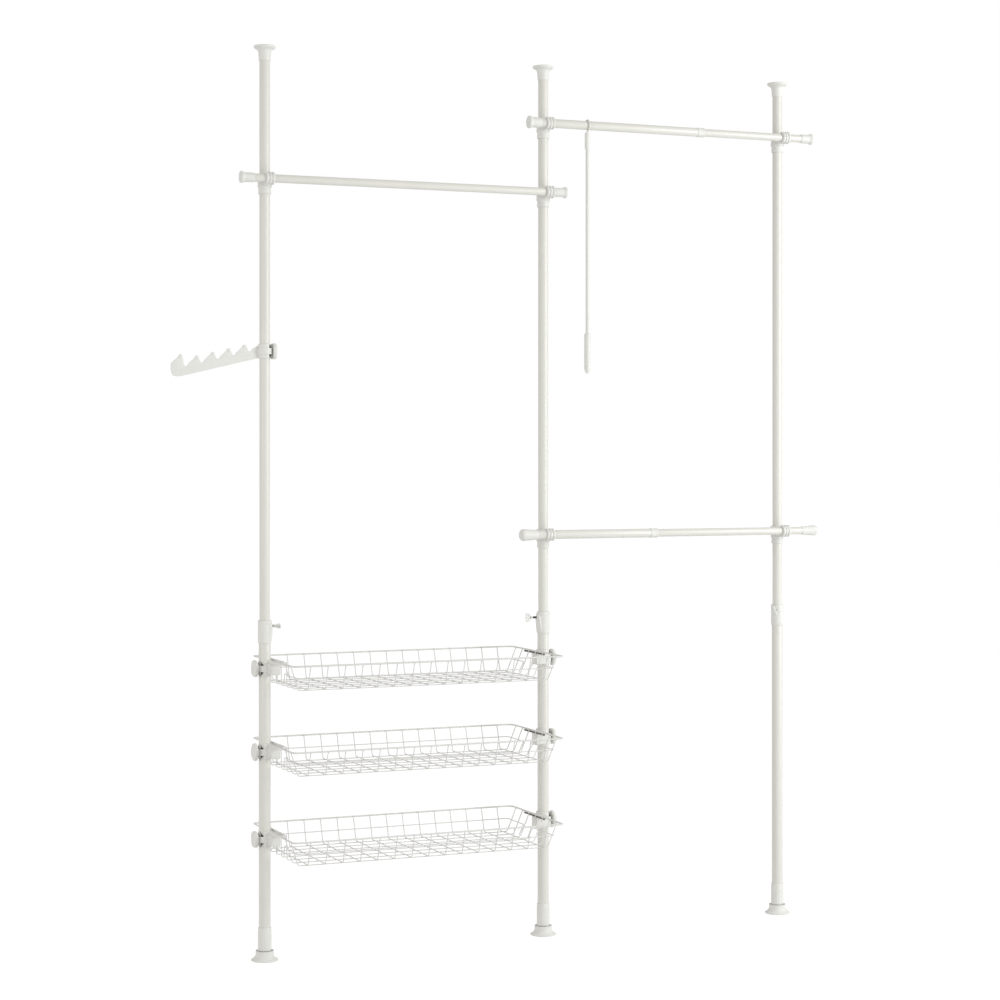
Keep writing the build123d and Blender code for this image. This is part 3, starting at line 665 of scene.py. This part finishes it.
def stop_collar(joint, z):
    """The ring that ends the wide tube: two raised bands round a plain waist."""
    outer = WIDE_RAIL + 0.9
    waist = outer - 0.35
    wide_seat = WIDE_RAIL + FIT_GAP
    slim_seat = SLIM_RAIL + 0.3
    profile = [(-11, wide_seat), (-11, outer - 0.2), (-10, outer), (-7.5, outer), (-6.6, waist),
               (6.6, waist), (7.5, outer), (10, outer), (11, outer - 0.2), (11, slim_seat),
               (0, slim_seat), (0, wide_seat)]
    return on_rail(shifted(profile, joint), 0.3, z)


# The clamp's loop: half its length, its radii, and the step from rib to rib
LOOP_HALF = 11.4
LOOP_END = 16.2
RIB_SHOULDER = 17.1
RIB_TOP = 17.5
GROOVE = 15.0
RIB_STEP = 8.6
RIB_COUNT = 3
SQUARING = 0.35
PINCH_TAB = [(-21.9, 5.4), (-21.9, 13.6), (-15.4, 13.6), (-15.4, 5.4)]


def rail_clamp(x, z, radius):
    """The pole's collar, the rail's loop of three ribs, the saddle between them, a block
    with a squared section and a slim waist, and the pinch tab with its slit."""
    collar = [(z + 14, 14.4), (z + 14, 17.0), (z + 11.5, 17.5), (z - 16, 19.0), (z - 19, 19.2),
              (z - 21.5, 17.4), (z - 24, 16.5), (z - 36.5, 17.6), (z - 38, 16.8), (z - 38, 14.4)]
    loop = [(-LOOP_HALF, radius + FIT_GAP), (-LOOP_HALF, LOOP_END)]
    for rib in range(RIB_COUNT):
        start = -LOOP_HALF + rib * RIB_STEP
        loop += [(start + 0.5, RIB_SHOULDER), (start + 1.8, RIB_TOP), (start + 3.8, RIB_TOP),
                 (start + 5.1, RIB_SHOULDER)]
        if rib < RIB_COUNT - 1:
            loop += [(start + 5.7, GROOVE), (start + 8.4, GROOVE)]
    loop += [(LOOP_HALF, LOOP_END), (LOOP_HALF, radius + FIT_GAP)]
    cosine, sine = np.cos(full_turn(48)), np.sin(full_turn(48))
    along = np.linspace(0, 1, 9)[:, None]
    waist = 1 - 0.10 * np.sin(np.pi * along)
    across = 10.9 * np.sign(cosine) * np.abs(cosine) ** SQUARING * waist
    height = 11.8 * np.sign(sine) * np.abs(sine) ** SQUARING * waist
    front = RAIL_Y + np.sqrt(16.0 ** 2 - height ** 2)
    back = -np.sqrt(16.6 ** 2 - across ** 2)
    saddle = np.stack([across + x, front * (1 - along) + back * along, height + z], -1)
    tab = softened(PINCH_TAB, 1.6)
    ears = []
    for low, high in ((-3.5, -0.6), (0.6, 3.5)):
        ears += moved(plate(tab, low, high, 0.7, "XZ"), (x, 0, z))
    return [
        turned(collar, 0.9, at=(x, 0, 0), columns=RAIL_COLUMNS),
        on_rail(shifted(loop, x), 0.5, z),
        closed_ends(saddle),
        *ears,
    ]


GUIDE_PLUG = [(-4, 0), (-4, 10.6), (-3.4, 11.0), (0, 11.0), (0, 9.75), (16, 9.75), (16, 0)]


def guide_plug(end, z):
    """The hidden plug in the slim tube's inner end."""
    return on_rail(shifted(GUIDE_PLUG, end), 0.3, z, 64)


RAIL_1_LEFT = -897
RAIL_1_RIGHT = 51
z = RAIL_Z[0]
piece("rail_1_tube_drawn",
      [tube_on_x(RAIL_1_LEFT + CAP_FLOOR, RAIL_1_RIGHT - CAP_FLOOR, SLIM_RAIL, SLIM_RAIL_BORE, z)],
      "tube_white", "rail_1_tube")
piece("rail_1_end_caps_moulded",
      [flared_cap(RAIL_1_LEFT, SLIM_RAIL, 1, z), flared_cap(RAIL_1_RIGHT, SLIM_RAIL, -1, z)],
      "moulded_white", "rail_1_end_caps")
piece("rail_1_clamps_moulded",
      rail_clamp(POLE_X[0], z, SLIM_RAIL) + rail_clamp(POLE_X[1], z, SLIM_RAIL),
      "moulded_white", "rail_1_clamps")

# Rails 2 and 3: height, left end, inner ends of the wide and the slim tube, right end
for name, z, left, joint, inner, right, caps in (
    ("rail_2", RAIL_Z[1], -65, 476, 186, 846, "flared"),
    ("rail_3", RAIL_Z[2], -89, 325, 130, 863, "cone"),
):
    outer_tube = tube_on_x(left + CAP_FLOOR, joint, WIDE_RAIL, WIDE_RAIL_BORE, z)
    inner_tube = tube_on_x(inner, right - CAP_FLOOR, SLIM_RAIL, SLIM_RAIL_BORE, z)
    piece(f"{name}_outer_drawn", [outer_tube], "tube_white", f"{name}_outer_tube")
    piece(f"{name}_inner_drawn", [inner_tube], "tube_white", f"{name}_inner_tube")
    if caps == "flared":
        left_cap = flared_cap(left, WIDE_RAIL, 1, z)
        right_cap = flared_cap(right, SLIM_RAIL, -1, z)
    else:
        left_cap = cone_cap(left, WIDE_RAIL, 1, z, flutes=0)
        right_cap = cone_cap(right, SLIM_RAIL, -1, z, flutes=20)
    piece(f"{name}_left_moulded",
          [left_cap, stop_collar(joint, z), *rail_clamp(POLE_X[1], z, WIDE_RAIL)],
          "moulded_white", f"{name}_left_fittings")
    piece(f"{name}_right_moulded",
          [right_cap, guide_plug(inner, z), *rail_clamp(POLE_X[2], z, SLIM_RAIL)],
          "moulded_white", f"{name}_right_fittings")


# Baskets

# Radii of the wires, and where their ends are welded under the rim
RIM_WIRE = 2.2
THIN_WIRE = 1.3
WELD_INSET = 3.5
WELD_LIFT = 0.4

CROSS_COUNT = 15
CROSS_STEP = 48
RUNNER_COUNT = 7

# Gap from a mid wire to the basket's sides
MID_GAP = 2.6

# Weld beads: half sizes along X, Y and Z
MID_BEAD = (1.5, 0.9, 1.5)
LONG_RIM_BEAD = (1.9, 1.0, 2.0)
SIDE_RIM_BEAD = (1.0, 1.9, 2.0)
FLOOR_BEAD = (1.5, 1.5, 0.8)


def bent(corners, radius=6.0):
    """A wire's path through its corners, with rounded bends."""
    return softened(corners, radius, closed=False, steps=7)


def basket(top):
    """Rim, cross wires, long floor wires and the two mid wires, with their weld beads. The
    rim's left side steps in round the bracket, and the floor wires lie evenly between the
    bends of the cross wires."""
    floor = top - 65
    mid = top - 32
    lean = 25
    weld_top = top + WELD_LIFT
    bead_top = top - WELD_LIFT
    cross_level = floor + 1.7
    low_back = RIM_BACK - lean
    low_front = RIM_FRONT + lean
    rim = softened([
        (RIM_LEFT_ENDS, RIM_FRONT, top), (RIM_RIGHT, RIM_FRONT, top), (RIM_RIGHT, RIM_BACK, top),
        (RIM_LEFT_ENDS, RIM_BACK, top), (RIM_LEFT_ENDS, 62, top), (RIM_LEFT, 38, top),
        (RIM_LEFT, -104, top), (RIM_LEFT_ENDS, -128, top),
    ], [16, 10, 24, 14, 12, 12, 12, 12], steps=10)
    grids = [wire(rim, RIM_WIRE, 16, closed=True)]
    cross_x = RIM_LEFT + 29 + CROSS_STEP * np.arange(CROSS_COUNT)
    cross = wire(bent([
        (0, RIM_BACK - WELD_INSET, weld_top), (0, low_back, cross_level),
        (0, low_front, cross_level), (0, RIM_FRONT + WELD_INSET, weld_top),
    ]), THIN_WIRE, 10)[0]
    grids += [(cross + (x, 0, 0), False, True) for x in cross_x]
    runner_y = np.linspace(low_front + 10, low_back - 15, RUNNER_COUNT)
    stepped_in = (runner_y > -116) & (runner_y < 50)
    rim_x = np.where(stepped_in, RIM_LEFT, RIM_LEFT_ENDS)
    for x, y in zip(rim_x, runner_y):
        runner = bent([
            (x + WELD_INSET, y, weld_top), (FLOOR_LEFT, y, floor),
            (FLOOR_RIGHT, y, floor), (RIM_RIGHT - WELD_INSET, y, weld_top),
        ])
        grids.append(wire(runner, THIN_WIRE, 10))
    mid_left = (RIM_LEFT_ENDS + WELD_INSET + FLOOR_LEFT) / 2 + MID_GAP
    mid_right = (RIM_RIGHT - WELD_INSET + FLOOR_RIGHT) / 2 - MID_GAP
    beside = RIM_LEFT + 9
    foot = floor + 5.2
    for wall, low_wall, way in ((RIM_BACK, low_back, 1), (RIM_FRONT, low_front, -1)):
        stop = BRACKET_Y + way * 31
        corner = (wall + low_wall) / 2 - way * 4.4
        outside = BRACKET_Y + way * 88
        path = bent([
            (FLOOR_LEFT + MID_GAP, stop, foot), (beside, stop, mid),
            (beside, outside - way * 22, mid), (mid_left, outside, mid), (mid_left, corner, mid),
            (mid_right, corner, mid), (mid_right, stop, mid), (FLOOR_RIGHT - MID_GAP, stop, foot),
        ], 7.0)
        grids.append(wire(path, THIN_WIRE, 10))
        grids += beads([(x, corner + way * THIN_WIRE, mid) for x in cross_x], MID_BEAD)
    long_sides = (RIM_BACK - RIM_WIRE, RIM_FRONT + RIM_WIRE)
    left_ends = [(x + RIM_WIRE, y, bead_top) for x, y in zip(rim_x, runner_y)]
    right_ends = [(RIM_RIGHT - RIM_WIRE, y, bead_top) for y in runner_y]
    grids += beads([(x, y, bead_top) for x in cross_x for y in long_sides], LONG_RIM_BEAD)
    grids += beads(left_ends + right_ends, SIDE_RIM_BEAD)
    grids += beads([(x, y, floor + THIN_WIRE) for x in cross_x for y in runner_y], FLOOR_BEAD)
    return grids


for number, top in enumerate(RIM_Z, start=1):
    node = f"shelf_{number}_basket"
    piece(f"{node}_welded", basket(top), "wire_white", node)


# Shelf brackets, their pads and knobs

# Radii of the collar, its band and the clear circle round the pole, half the band's
# height, and the drop from the rim to the knob's screw
COLLAR_RADII = (16.3, 20.3)
BAND_RADII = (19.3, 22.4)
CLEAR_RADIUS = 18.2
BAND_HALF = 8.5
KNOB_DROP = 23

# The wing: half its length, its depth and half its thickness
LEAF_HALF = 74
LEAF_DEPTH = 23
LEAF_THICKNESS = 3.0
ROOT_Y = np.concatenate([[-56], np.linspace(-55, -2, 40), [-0.8]])


def outside_pole(y):
    """The X at which the clear circle round the pole lies for a Y, or 0 past it."""
    return np.sqrt(np.maximum(CLEAR_RADIUS ** 2 - y ** 2, 0))


def bracket(reach, top):
    """Collar open at the knob's side, band, leaf-shaped wing, arm and root. The wing's
    inner edge is a circle's arc. It and the root stop at the clear circle round the pole."""
    knob_z = top - KNOB_DROP
    seat = top - 2.5
    edge = reach + 1.4
    collar = softened(ring_profile(top - 41, top - 1, *COLLAR_RADII), 0.9)
    band = softened(ring_profile(knob_z - BAND_HALF, knob_z + BAND_HALF, *BAND_RADII), 1.1)
    radius = (LEAF_HALF ** 2 + LEAF_DEPTH ** 2) / (2 * LEAF_DEPTH)
    along = 73.7 * np.sin(np.linspace(-np.pi / 2, np.pi / 2, 65))
    leaf_y = BRACKET_Y + along
    bulge = edge - LEAF_DEPTH + radius - np.sqrt(radius ** 2 - along ** 2)
    leaf_x = np.minimum(np.maximum(bulge, outside_pole(leaf_y)), edge - 0.4)
    half = LEAF_THICKNESS * np.clip((edge - leaf_x) / 5, 0.3, 1) ** 0.5
    root_x = np.maximum(outside_pole(ROOT_Y), 2.0)
    end_inset = np.where((ROOT_Y < -55.5) | (ROOT_Y > -1), 0.9, 0.0)
    arm_end = reach + 2.0
    arm_low = top - 37
    arm = softened([(4, -57), (arm_end, -57), (arm_end, -23), (4, -23)], 2.5)
    wing_middle = seat - LEAF_THICKNESS
    return [
        *arc_band(collar, -116, 116, 60),
        (lathe(band, columns=RAIL_COLUMNS), True, True),
        bar_on_y(leaf_y, leaf_x, edge, wing_middle - half, wing_middle + half, 5.0, 40),
        *plate(arm, arm_low, seat - 4.7, 1.4),
        bar_on_y(ROOT_Y, root_x, 20.0, arm_low + end_inset, seat - 5.6 - end_inset, 12.0, 40),
    ]


def curved_patch(bore, rows):
    """A closed patch on a tube of radius bore. Each row is (height, thickness, first angle,
    last angle), and the angles are run through evenly between the two."""
    level, thick, first, last = np.array(rows, float).T[:, :, None]
    angle = np.radians(180 + first + (last - first) * np.linspace(0, 1, 25)[None, :])
    inside = about_z(bore, angle, level)
    outside = about_z(bore + thick, angle, level)
    wall = np.concatenate([inside, outside[:, ::-1]], 1)
    ends = [(np.stack([inside[row], outside[row]]), False, False) for row in (0, -1)]
    return [(wall, False, True), *ends]


# The pad's sheet inside the band, and its lobes from the band to the pad's end: levels,
# thicknesses, and the angles between which a lobe lies
PAD_SHEET = [(-8.3, 2.4, -60, 60), (-7.9, 2.7, -60, 60), (7.9, 2.7, -60, 60), (8.3, 2.4, -60, 60)]
LOBE_LEVELS = [8.0, 8.8, 9.6, 11.0, 12.5, 13.6, 17.0]
LOBE_THICK = np.array([2.4, 3.4, 4.9, 4.8, 3.6, 2.2, 1.2, 0.7])
LOBE_NEAR = np.array([45, 45, 45, 45, 44, 42, 36, 31])
LOBE_FAR = np.array([60, 60, 60, 57, 51, 46, 38.5, 33])


def pad(bore, height):
    """The curved pad under the screw: an even sheet inside the band, and two slanting
    lobes above it and two below it. Each is thick and wide at the band, narrows to a ridge
    and leans towards the knob's side."""
    grids = curved_patch(bore, PAD_SHEET)
    level = np.array([*LOBE_LEVELS, height / 2])
    for up in (1, -1):
        for side in (1, -1):
            rows = np.stack([up * level, LOBE_THICK, side * LOBE_NEAR, side * LOBE_FAR], -1)
            grids += curved_patch(bore, rows)
    return grids


# The knob: points round it, radius of its screw, and power of its curve
KNOB_COLUMNS = 144
KNOB_SCREW = 4.0
KNOB_POWER = 2.8


def knob(band_outer, pad_outer, turn=0.0):
    """The knob on its screw, with a shallow dish in its face. Its section grows from a
    circle at the screw to the curve |y| ^ power + |z| ^ power = 1, turned by an angle."""
    inner = -band_outer - 0.3
    outer = inner - 9.5
    tip = -pad_outer - FIT_GAP
    line = softened([(inner, KNOB_SCREW), (inner, 19.8), (inner - 1.2, 21.2), (outer + 1.8, 21.2),
                     (outer + 0.3, 19.9), (outer, 18.4), (outer, 14.6), (outer + 0.9, 13.4),
                     (outer + 0.9, 0)], 0.7, closed=False, steps=5)
    screw = softened([(tip, 0), (tip, 3.6), (-pad_outer - 0.6, KNOB_SCREW), (inner, KNOB_SCREW)],
                     0.3, closed=False, steps=3)
    solid = lathe(np.vstack([screw, line]), axis="X", columns=KNOB_COLUMNS)
    around = full_turn(KNOB_COLUMNS) - math.radians(turn)
    sides = np.abs(np.cos(around)) ** KNOB_POWER + np.abs(np.sin(around)) ** KNOB_POWER
    square = sides ** (-1 / KNOB_POWER)
    radius = np.linalg.norm(solid[..., 1:], axis=-1)
    share = np.clip((radius - KNOB_SCREW) / 12.0, 0, 1)
    stretch = 1 + (square[None, :] - 1) * share
    solid[..., 1:] *= stretch[..., None]
    return [(solid, False, True)]


SHELF_PAD_OUTER = 19.0
KNOB_TURN = (12.0, 34.0, 0.0)
SHADE_STRIP_Y = np.linspace(-110, 26, 9)
for number, (top, turn) in enumerate(zip(RIM_Z, KNOB_TURN), start=1):
    name = f"shelf_{number}"
    left_knob = (POLE_X[0], 0, top - KNOB_DROP)
    right_knob = (POLE_X[1], 0, top - KNOB_DROP)
    left_bracket = moved(bracket(24, top), (POLE_X[0], 0, 0))
    right_bracket = moved(bracket(44, top), flip=True)
    piece(f"{name}_brackets_moulded", left_bracket + right_bracket, "moulded_white",
          f"{name}_brackets")
    # A thin dark strip along each middle-pole bracket, just outside the rim wire. It is painted shade for
    # the shaded gap where the rim rests in the wing, not a real liner.
    shade_strip = bar_on_y(SHADE_STRIP_Y, 44.9, 46.3, top - 6.6, top - 3.0)
    piece(f"{name}_seat_shade_strip", moved([shade_strip], flip=True), "seat_dark",
          body=BODY_OF[f"{name}_brackets"])
    sheet = pad(COLLAR_RADII[0], 39)
    piece(f"{name}_pads", moved(sheet, left_knob) + moved(sheet, right_knob, flip=True), "pad_black",
          f"{name}_pressure_pads")
    left_turned = moved(knob(BAND_RADII[1], SHELF_PAD_OUTER, turn), left_knob)
    right_turned = moved(knob(BAND_RADII[1], SHELF_PAD_OUTER, 45 - turn), right_knob, flip=True)
    piece(f"{name}_knobs_moulded", left_turned + right_turned, "moulded_white",
          f"{name}_knobs")


# Hanger arm

# Fall of the arm in degrees, radius that it is measured from, and drop of its root
ARM_FALL = 13.4
ARM_BORE = 14.4
ARM_ROOT_DROP = 18

TIP_COUNT = 5
FIRST_TIP = 56
TIP_STEP = 43.7
NOTCH_RADIUS = 6

# Where the base line ends, and the nose's corners as (X, height over that end)
BASE_END = 231
NOSE = [(-256.6, 34), (-256.9, 17), (-254, 6), (-249, 0)]
TIP_ROD = [(-3.9, 0), (-3.9, 4.6), (3.9, 4.6), (3.9, 0)]


def base_line(reach):
    """Height of the arm's sloping base line at a distance from the pole's axis."""
    return ARM_Z - ARM_ROOT_DROP - (reach - ARM_BORE) * math.tan(math.radians(ARM_FALL))


def arm_tips():
    """The arm's tips as (distance from the pole's axis, height). The last is higher."""
    tips = []
    for number in range(TIP_COUNT):
        reach = FIRST_TIP + number * TIP_STEP
        extra = 13 if number == TIP_COUNT - 1 else 0
        tips.append((reach, base_line(reach) + 40 + extra))
    return tips


def arm_outline():
    """The arm's side view as (X, Z) from the pole's axis: rounded notches along a sloping
    base line, a rounded tip after each, and a bulged nose."""
    points = [(-15.0, ARM_Z + 15.5), (-17.6, ARM_Z + 15.5)]
    for reach, level in arm_tips():
        notch = reach - 14.5
        notch_z = base_line(notch) + 23
        points += arc((-notch, notch_z + NOTCH_RADIUS), NOTCH_RADIUS, 0, -180, 9).tolist()
        points += arc((-reach, level), 4.2, 0, 180, 9).tolist()
    low_z = base_line(BASE_END)
    points += [(x, low_z + rise) for x, rise in NOSE]
    points += [(-BASE_END, low_z), (-15.0, ARM_Z - ARM_ROOT_DROP)]
    return np.array(points, float)


def arm_rods():
    """A short round rod across each tip of the arm."""
    rod = lathe(softened(TIP_ROD, 1.4, closed=False, steps=5), axis="X", columns=32)
    across = placed(rod, turn=90)
    return [(across + (-reach, 0, level), False, True) for reach, level in arm_tips()]


def hanger_arm():
    """The notched plate, the rods at its tips, the collar round the pole and the screw's
    band."""
    collar = softened(ring_profile(ARM_Z - 19, ARM_Z + 19, ARM_BORE, 17.6), 0.8)
    band = softened(ring_profile(ARM_Z - BAND_HALF, ARM_Z + BAND_HALF, 17.4, 19.8), 0.9)
    return [
        *plate(softened(arm_outline(), 2.0), -2.5, 2.5, 0.7, "XZ"),
        *arm_rods(),
        *arc_band(collar, 64, 296, 60),
        (lathe(band, columns=RAIL_COLUMNS), True, True),
    ]


arm_screw = (POLE_X[0], 0, ARM_Z)
piece("hanger_arm_moulded", moved(hanger_arm(), (POLE_X[0], 0, 0)), "moulded_white",
      "hanger_arm")
piece("hanger_arm_pad", moved(moved(pad(ARM_BORE, 38), flip=True), arm_screw), "pad_black",
      "hanger_arm_pressure_pad")
piece("hanger_arm_knob_moulded", moved(moved(knob(19.8, 17.1), flip=True), arm_screw),
      "moulded_white", "hanger_arm_knob")


# Reach pole

HOOK_WIRE = 2.4
HOOK_END = 255

# The rod, the hook's socket and the grip, each as (height from the rail's axis, radius)
ROD = [(-47, 0), (-47, 5), (-605, 5), (-605, 0)]
SOCKET = [(-35, 0), (-35, 2.45), (-20, 2.45), (-20, 5.2), (-22, 7.2), (-26, 7.4), (-60, 7.4),
          (-65, 6.6), (-67, 5.8), (-67, 5.05), (-47, 5.05), (-47, 0)]
GRIP = [(-605, 0), (-605, 5.05), (-585, 5.05), (-585, 7.6), (-587, 8.6), (-590, 9.0), (-684, 9.0),
        (-690, 7.4), (-696, 4.6), (-697, 3.4), (-697, 0)]
HOOK_AXIS = (REACH_POLE_X, RAIL_Y, RAIL_Z[1])


def hook_path():
    """The hook's line in the plane of X = 0: a loop over the rail from -35 degrees to its
    end, and a bend back over the rod."""
    radius = WIDE_RAIL + 0.3 + HOOK_WIRE
    loop = arc((0, 0), radius, -35, HOOK_END, 49)
    bend = math.radians(HOOK_END - 180)
    meet = loop[-1]
    bend_radius = -meet[0] / (1 - math.cos(bend))
    bend_z = meet[1] - bend_radius * math.sin(bend)
    turn = np.linspace(bend, 0, 9)[1:]
    offset = np.stack([bend_radius * (np.cos(turn) - 1), bend_z + bend_radius * np.sin(turn)], -1)
    line = np.vstack([loop, offset, [(0, -34.0)]])
    return np.column_stack([np.zeros(len(line)), line])


def on_rod(profile, radius=0.8):
    """A solid turned about the reach pole's axis."""
    return turned(profile, radius, at=HOOK_AXIS, columns=48)


piece("reach_pole_rod_bent", [
    (wire(hook_path(), HOOK_WIRE, 16)[0] + HOOK_AXIS, False, True),
    on_rod(ROD, 0.5),
], "rod_white", "reach_pole_rod_and_hook")
piece("reach_pole_grip_moulded", [on_rod(SOCKET), on_rod(GRIP)], "moulded_white",
      "reach_pole_socket_and_grip")


# Stage, light and camera

FLOOR_REACH = 60000.0
FLOOR_SHADOW = 0.15
FLOOR_GLOW = 1.12
LIGHT_TARGET = (0, 0, 1.2)
FOCAL_PIXELS = 2281.7
HORIZON_PIXEL = 449.64
FRAME_PIXELS = 1000
SENSOR_WIDTH = 36.0
CAMERA_PLACE = (-2.6506, -5.8399, 1.3624)
CAMERA_YAW = -23.328


def stage_white(name):
    """White to the camera, in gloss and through glass, with a share of plain diffuse that
    keeps the object's shadow, and plain diffuse to all other rays."""
    material = bpy.data.materials.new(name)
    material.use_nodes = True
    nodes, link = material.node_tree.nodes, material.node_tree.links.new
    nodes.clear()
    plain = add(nodes, "BsdfDiffuse", {"Color": (0.8, 0.8, 0.8, 1)})
    glow = add(nodes, "Emission", {"Strength": FLOOR_GLOW})
    seen = add(nodes, "MixShader", {"Fac": FLOOR_SHADOW})
    rays = add(nodes, "LightPath").outputs
    gloss = add(nodes, "Math", operation="MAXIMUM")
    through = add(nodes, "Math", operation="MAXIMUM")
    choose = add(nodes, "MixShader")
    link(rays["Is Camera Ray"], gloss.inputs[0])
    link(rays["Is Glossy Ray"], gloss.inputs[1])
    link(gloss.outputs[0], through.inputs[0])
    link(rays["Is Transmission Ray"], through.inputs[1])
    link(glow.outputs[0], seen.inputs[1])
    link(plain.outputs[0], seen.inputs[2])
    link(through.outputs[0], choose.inputs[0])
    link(plain.outputs[0], choose.inputs[1])
    link(seen.outputs[0], choose.inputs[2])
    link(choose.outputs[0], add(nodes, "OutputMaterial").inputs["Surface"])
    return material


corners = np.array([[(-1, -1, 0), (1, -1, 0), (1, 1, 0), (-1, 1, 0)]], float) * FLOOR_REACH
floor = finish_mesh("floor", [(corners, False, True)])
floor.data.materials.append(stage_white("floor_white"))

world = bpy.data.worlds.new("studio")
bpy.context.scene.world = world
world.use_nodes = True
sky, sky_link = world.node_tree.nodes, world.node_tree.links.new
sky.clear()
ambient = add(sky, "Background", {"Color": (1, 0.985, 0.95, 1), "Strength": 0.62})
shown = add(sky, "Background", {"Color": (1, 1, 1, 1), "Strength": 1.0})
pick = add(sky, "MixShader")
sky_link(add(sky, "LightPath").outputs["Is Camera Ray"], pick.inputs[0])
sky_link(ambient.outputs[0], pick.inputs[1])
sky_link(shown.outputs[0], pick.inputs[2])
sky_link(pick.outputs[0], add(sky, "OutputWorld").inputs["Surface"])


def softbox(name, place, width, height, power, colour=(1, 1, 1)):
    """A large area lamp that faces the light's target."""
    lamp = bpy.data.lights.new(name, "AREA")
    lamp.shape = "RECTANGLE"
    lamp.size = width
    lamp.size_y = height
    lamp.energy = power
    lamp.color = colour
    holder = bpy.data.objects.new(name, lamp)
    bpy.context.scene.collection.objects.link(holder)
    direction = np.asarray(LIGHT_TARGET, float) - np.asarray(place, float)
    holder.location = place
    holder.rotation_euler = (math.atan2(math.hypot(direction[0], direction[1]), -direction[2]), 0,
                             math.atan2(direction[1], direction[0]) - math.pi / 2)


softbox("key_right", (3.6, -3.6, 2.2), width=1.6, height=3.4, power=148, colour=(0.97, 1, 1))
softbox("fill_left", (-5.6, -2.2, 1.8), width=2.5, height=3.0, power=60)

camera = bpy.data.cameras.new("camera")
camera.sensor_width = SENSOR_WIDTH
camera.lens = FOCAL_PIXELS / FRAME_PIXELS * SENSOR_WIDTH
camera.shift_y = (HORIZON_PIXEL - FRAME_PIXELS / 2) / FRAME_PIXELS
camera.clip_end = 200
viewer = bpy.data.objects.new("camera", camera)
viewer.location = CAMERA_PLACE
viewer.rotation_euler = (math.pi / 2, 0, math.radians(CAMERA_YAW))
bpy.context.scene.collection.objects.link(viewer)
bpy.context.scene.camera = viewer
bpy.context.scene.view_settings.view_transform = "Standard"
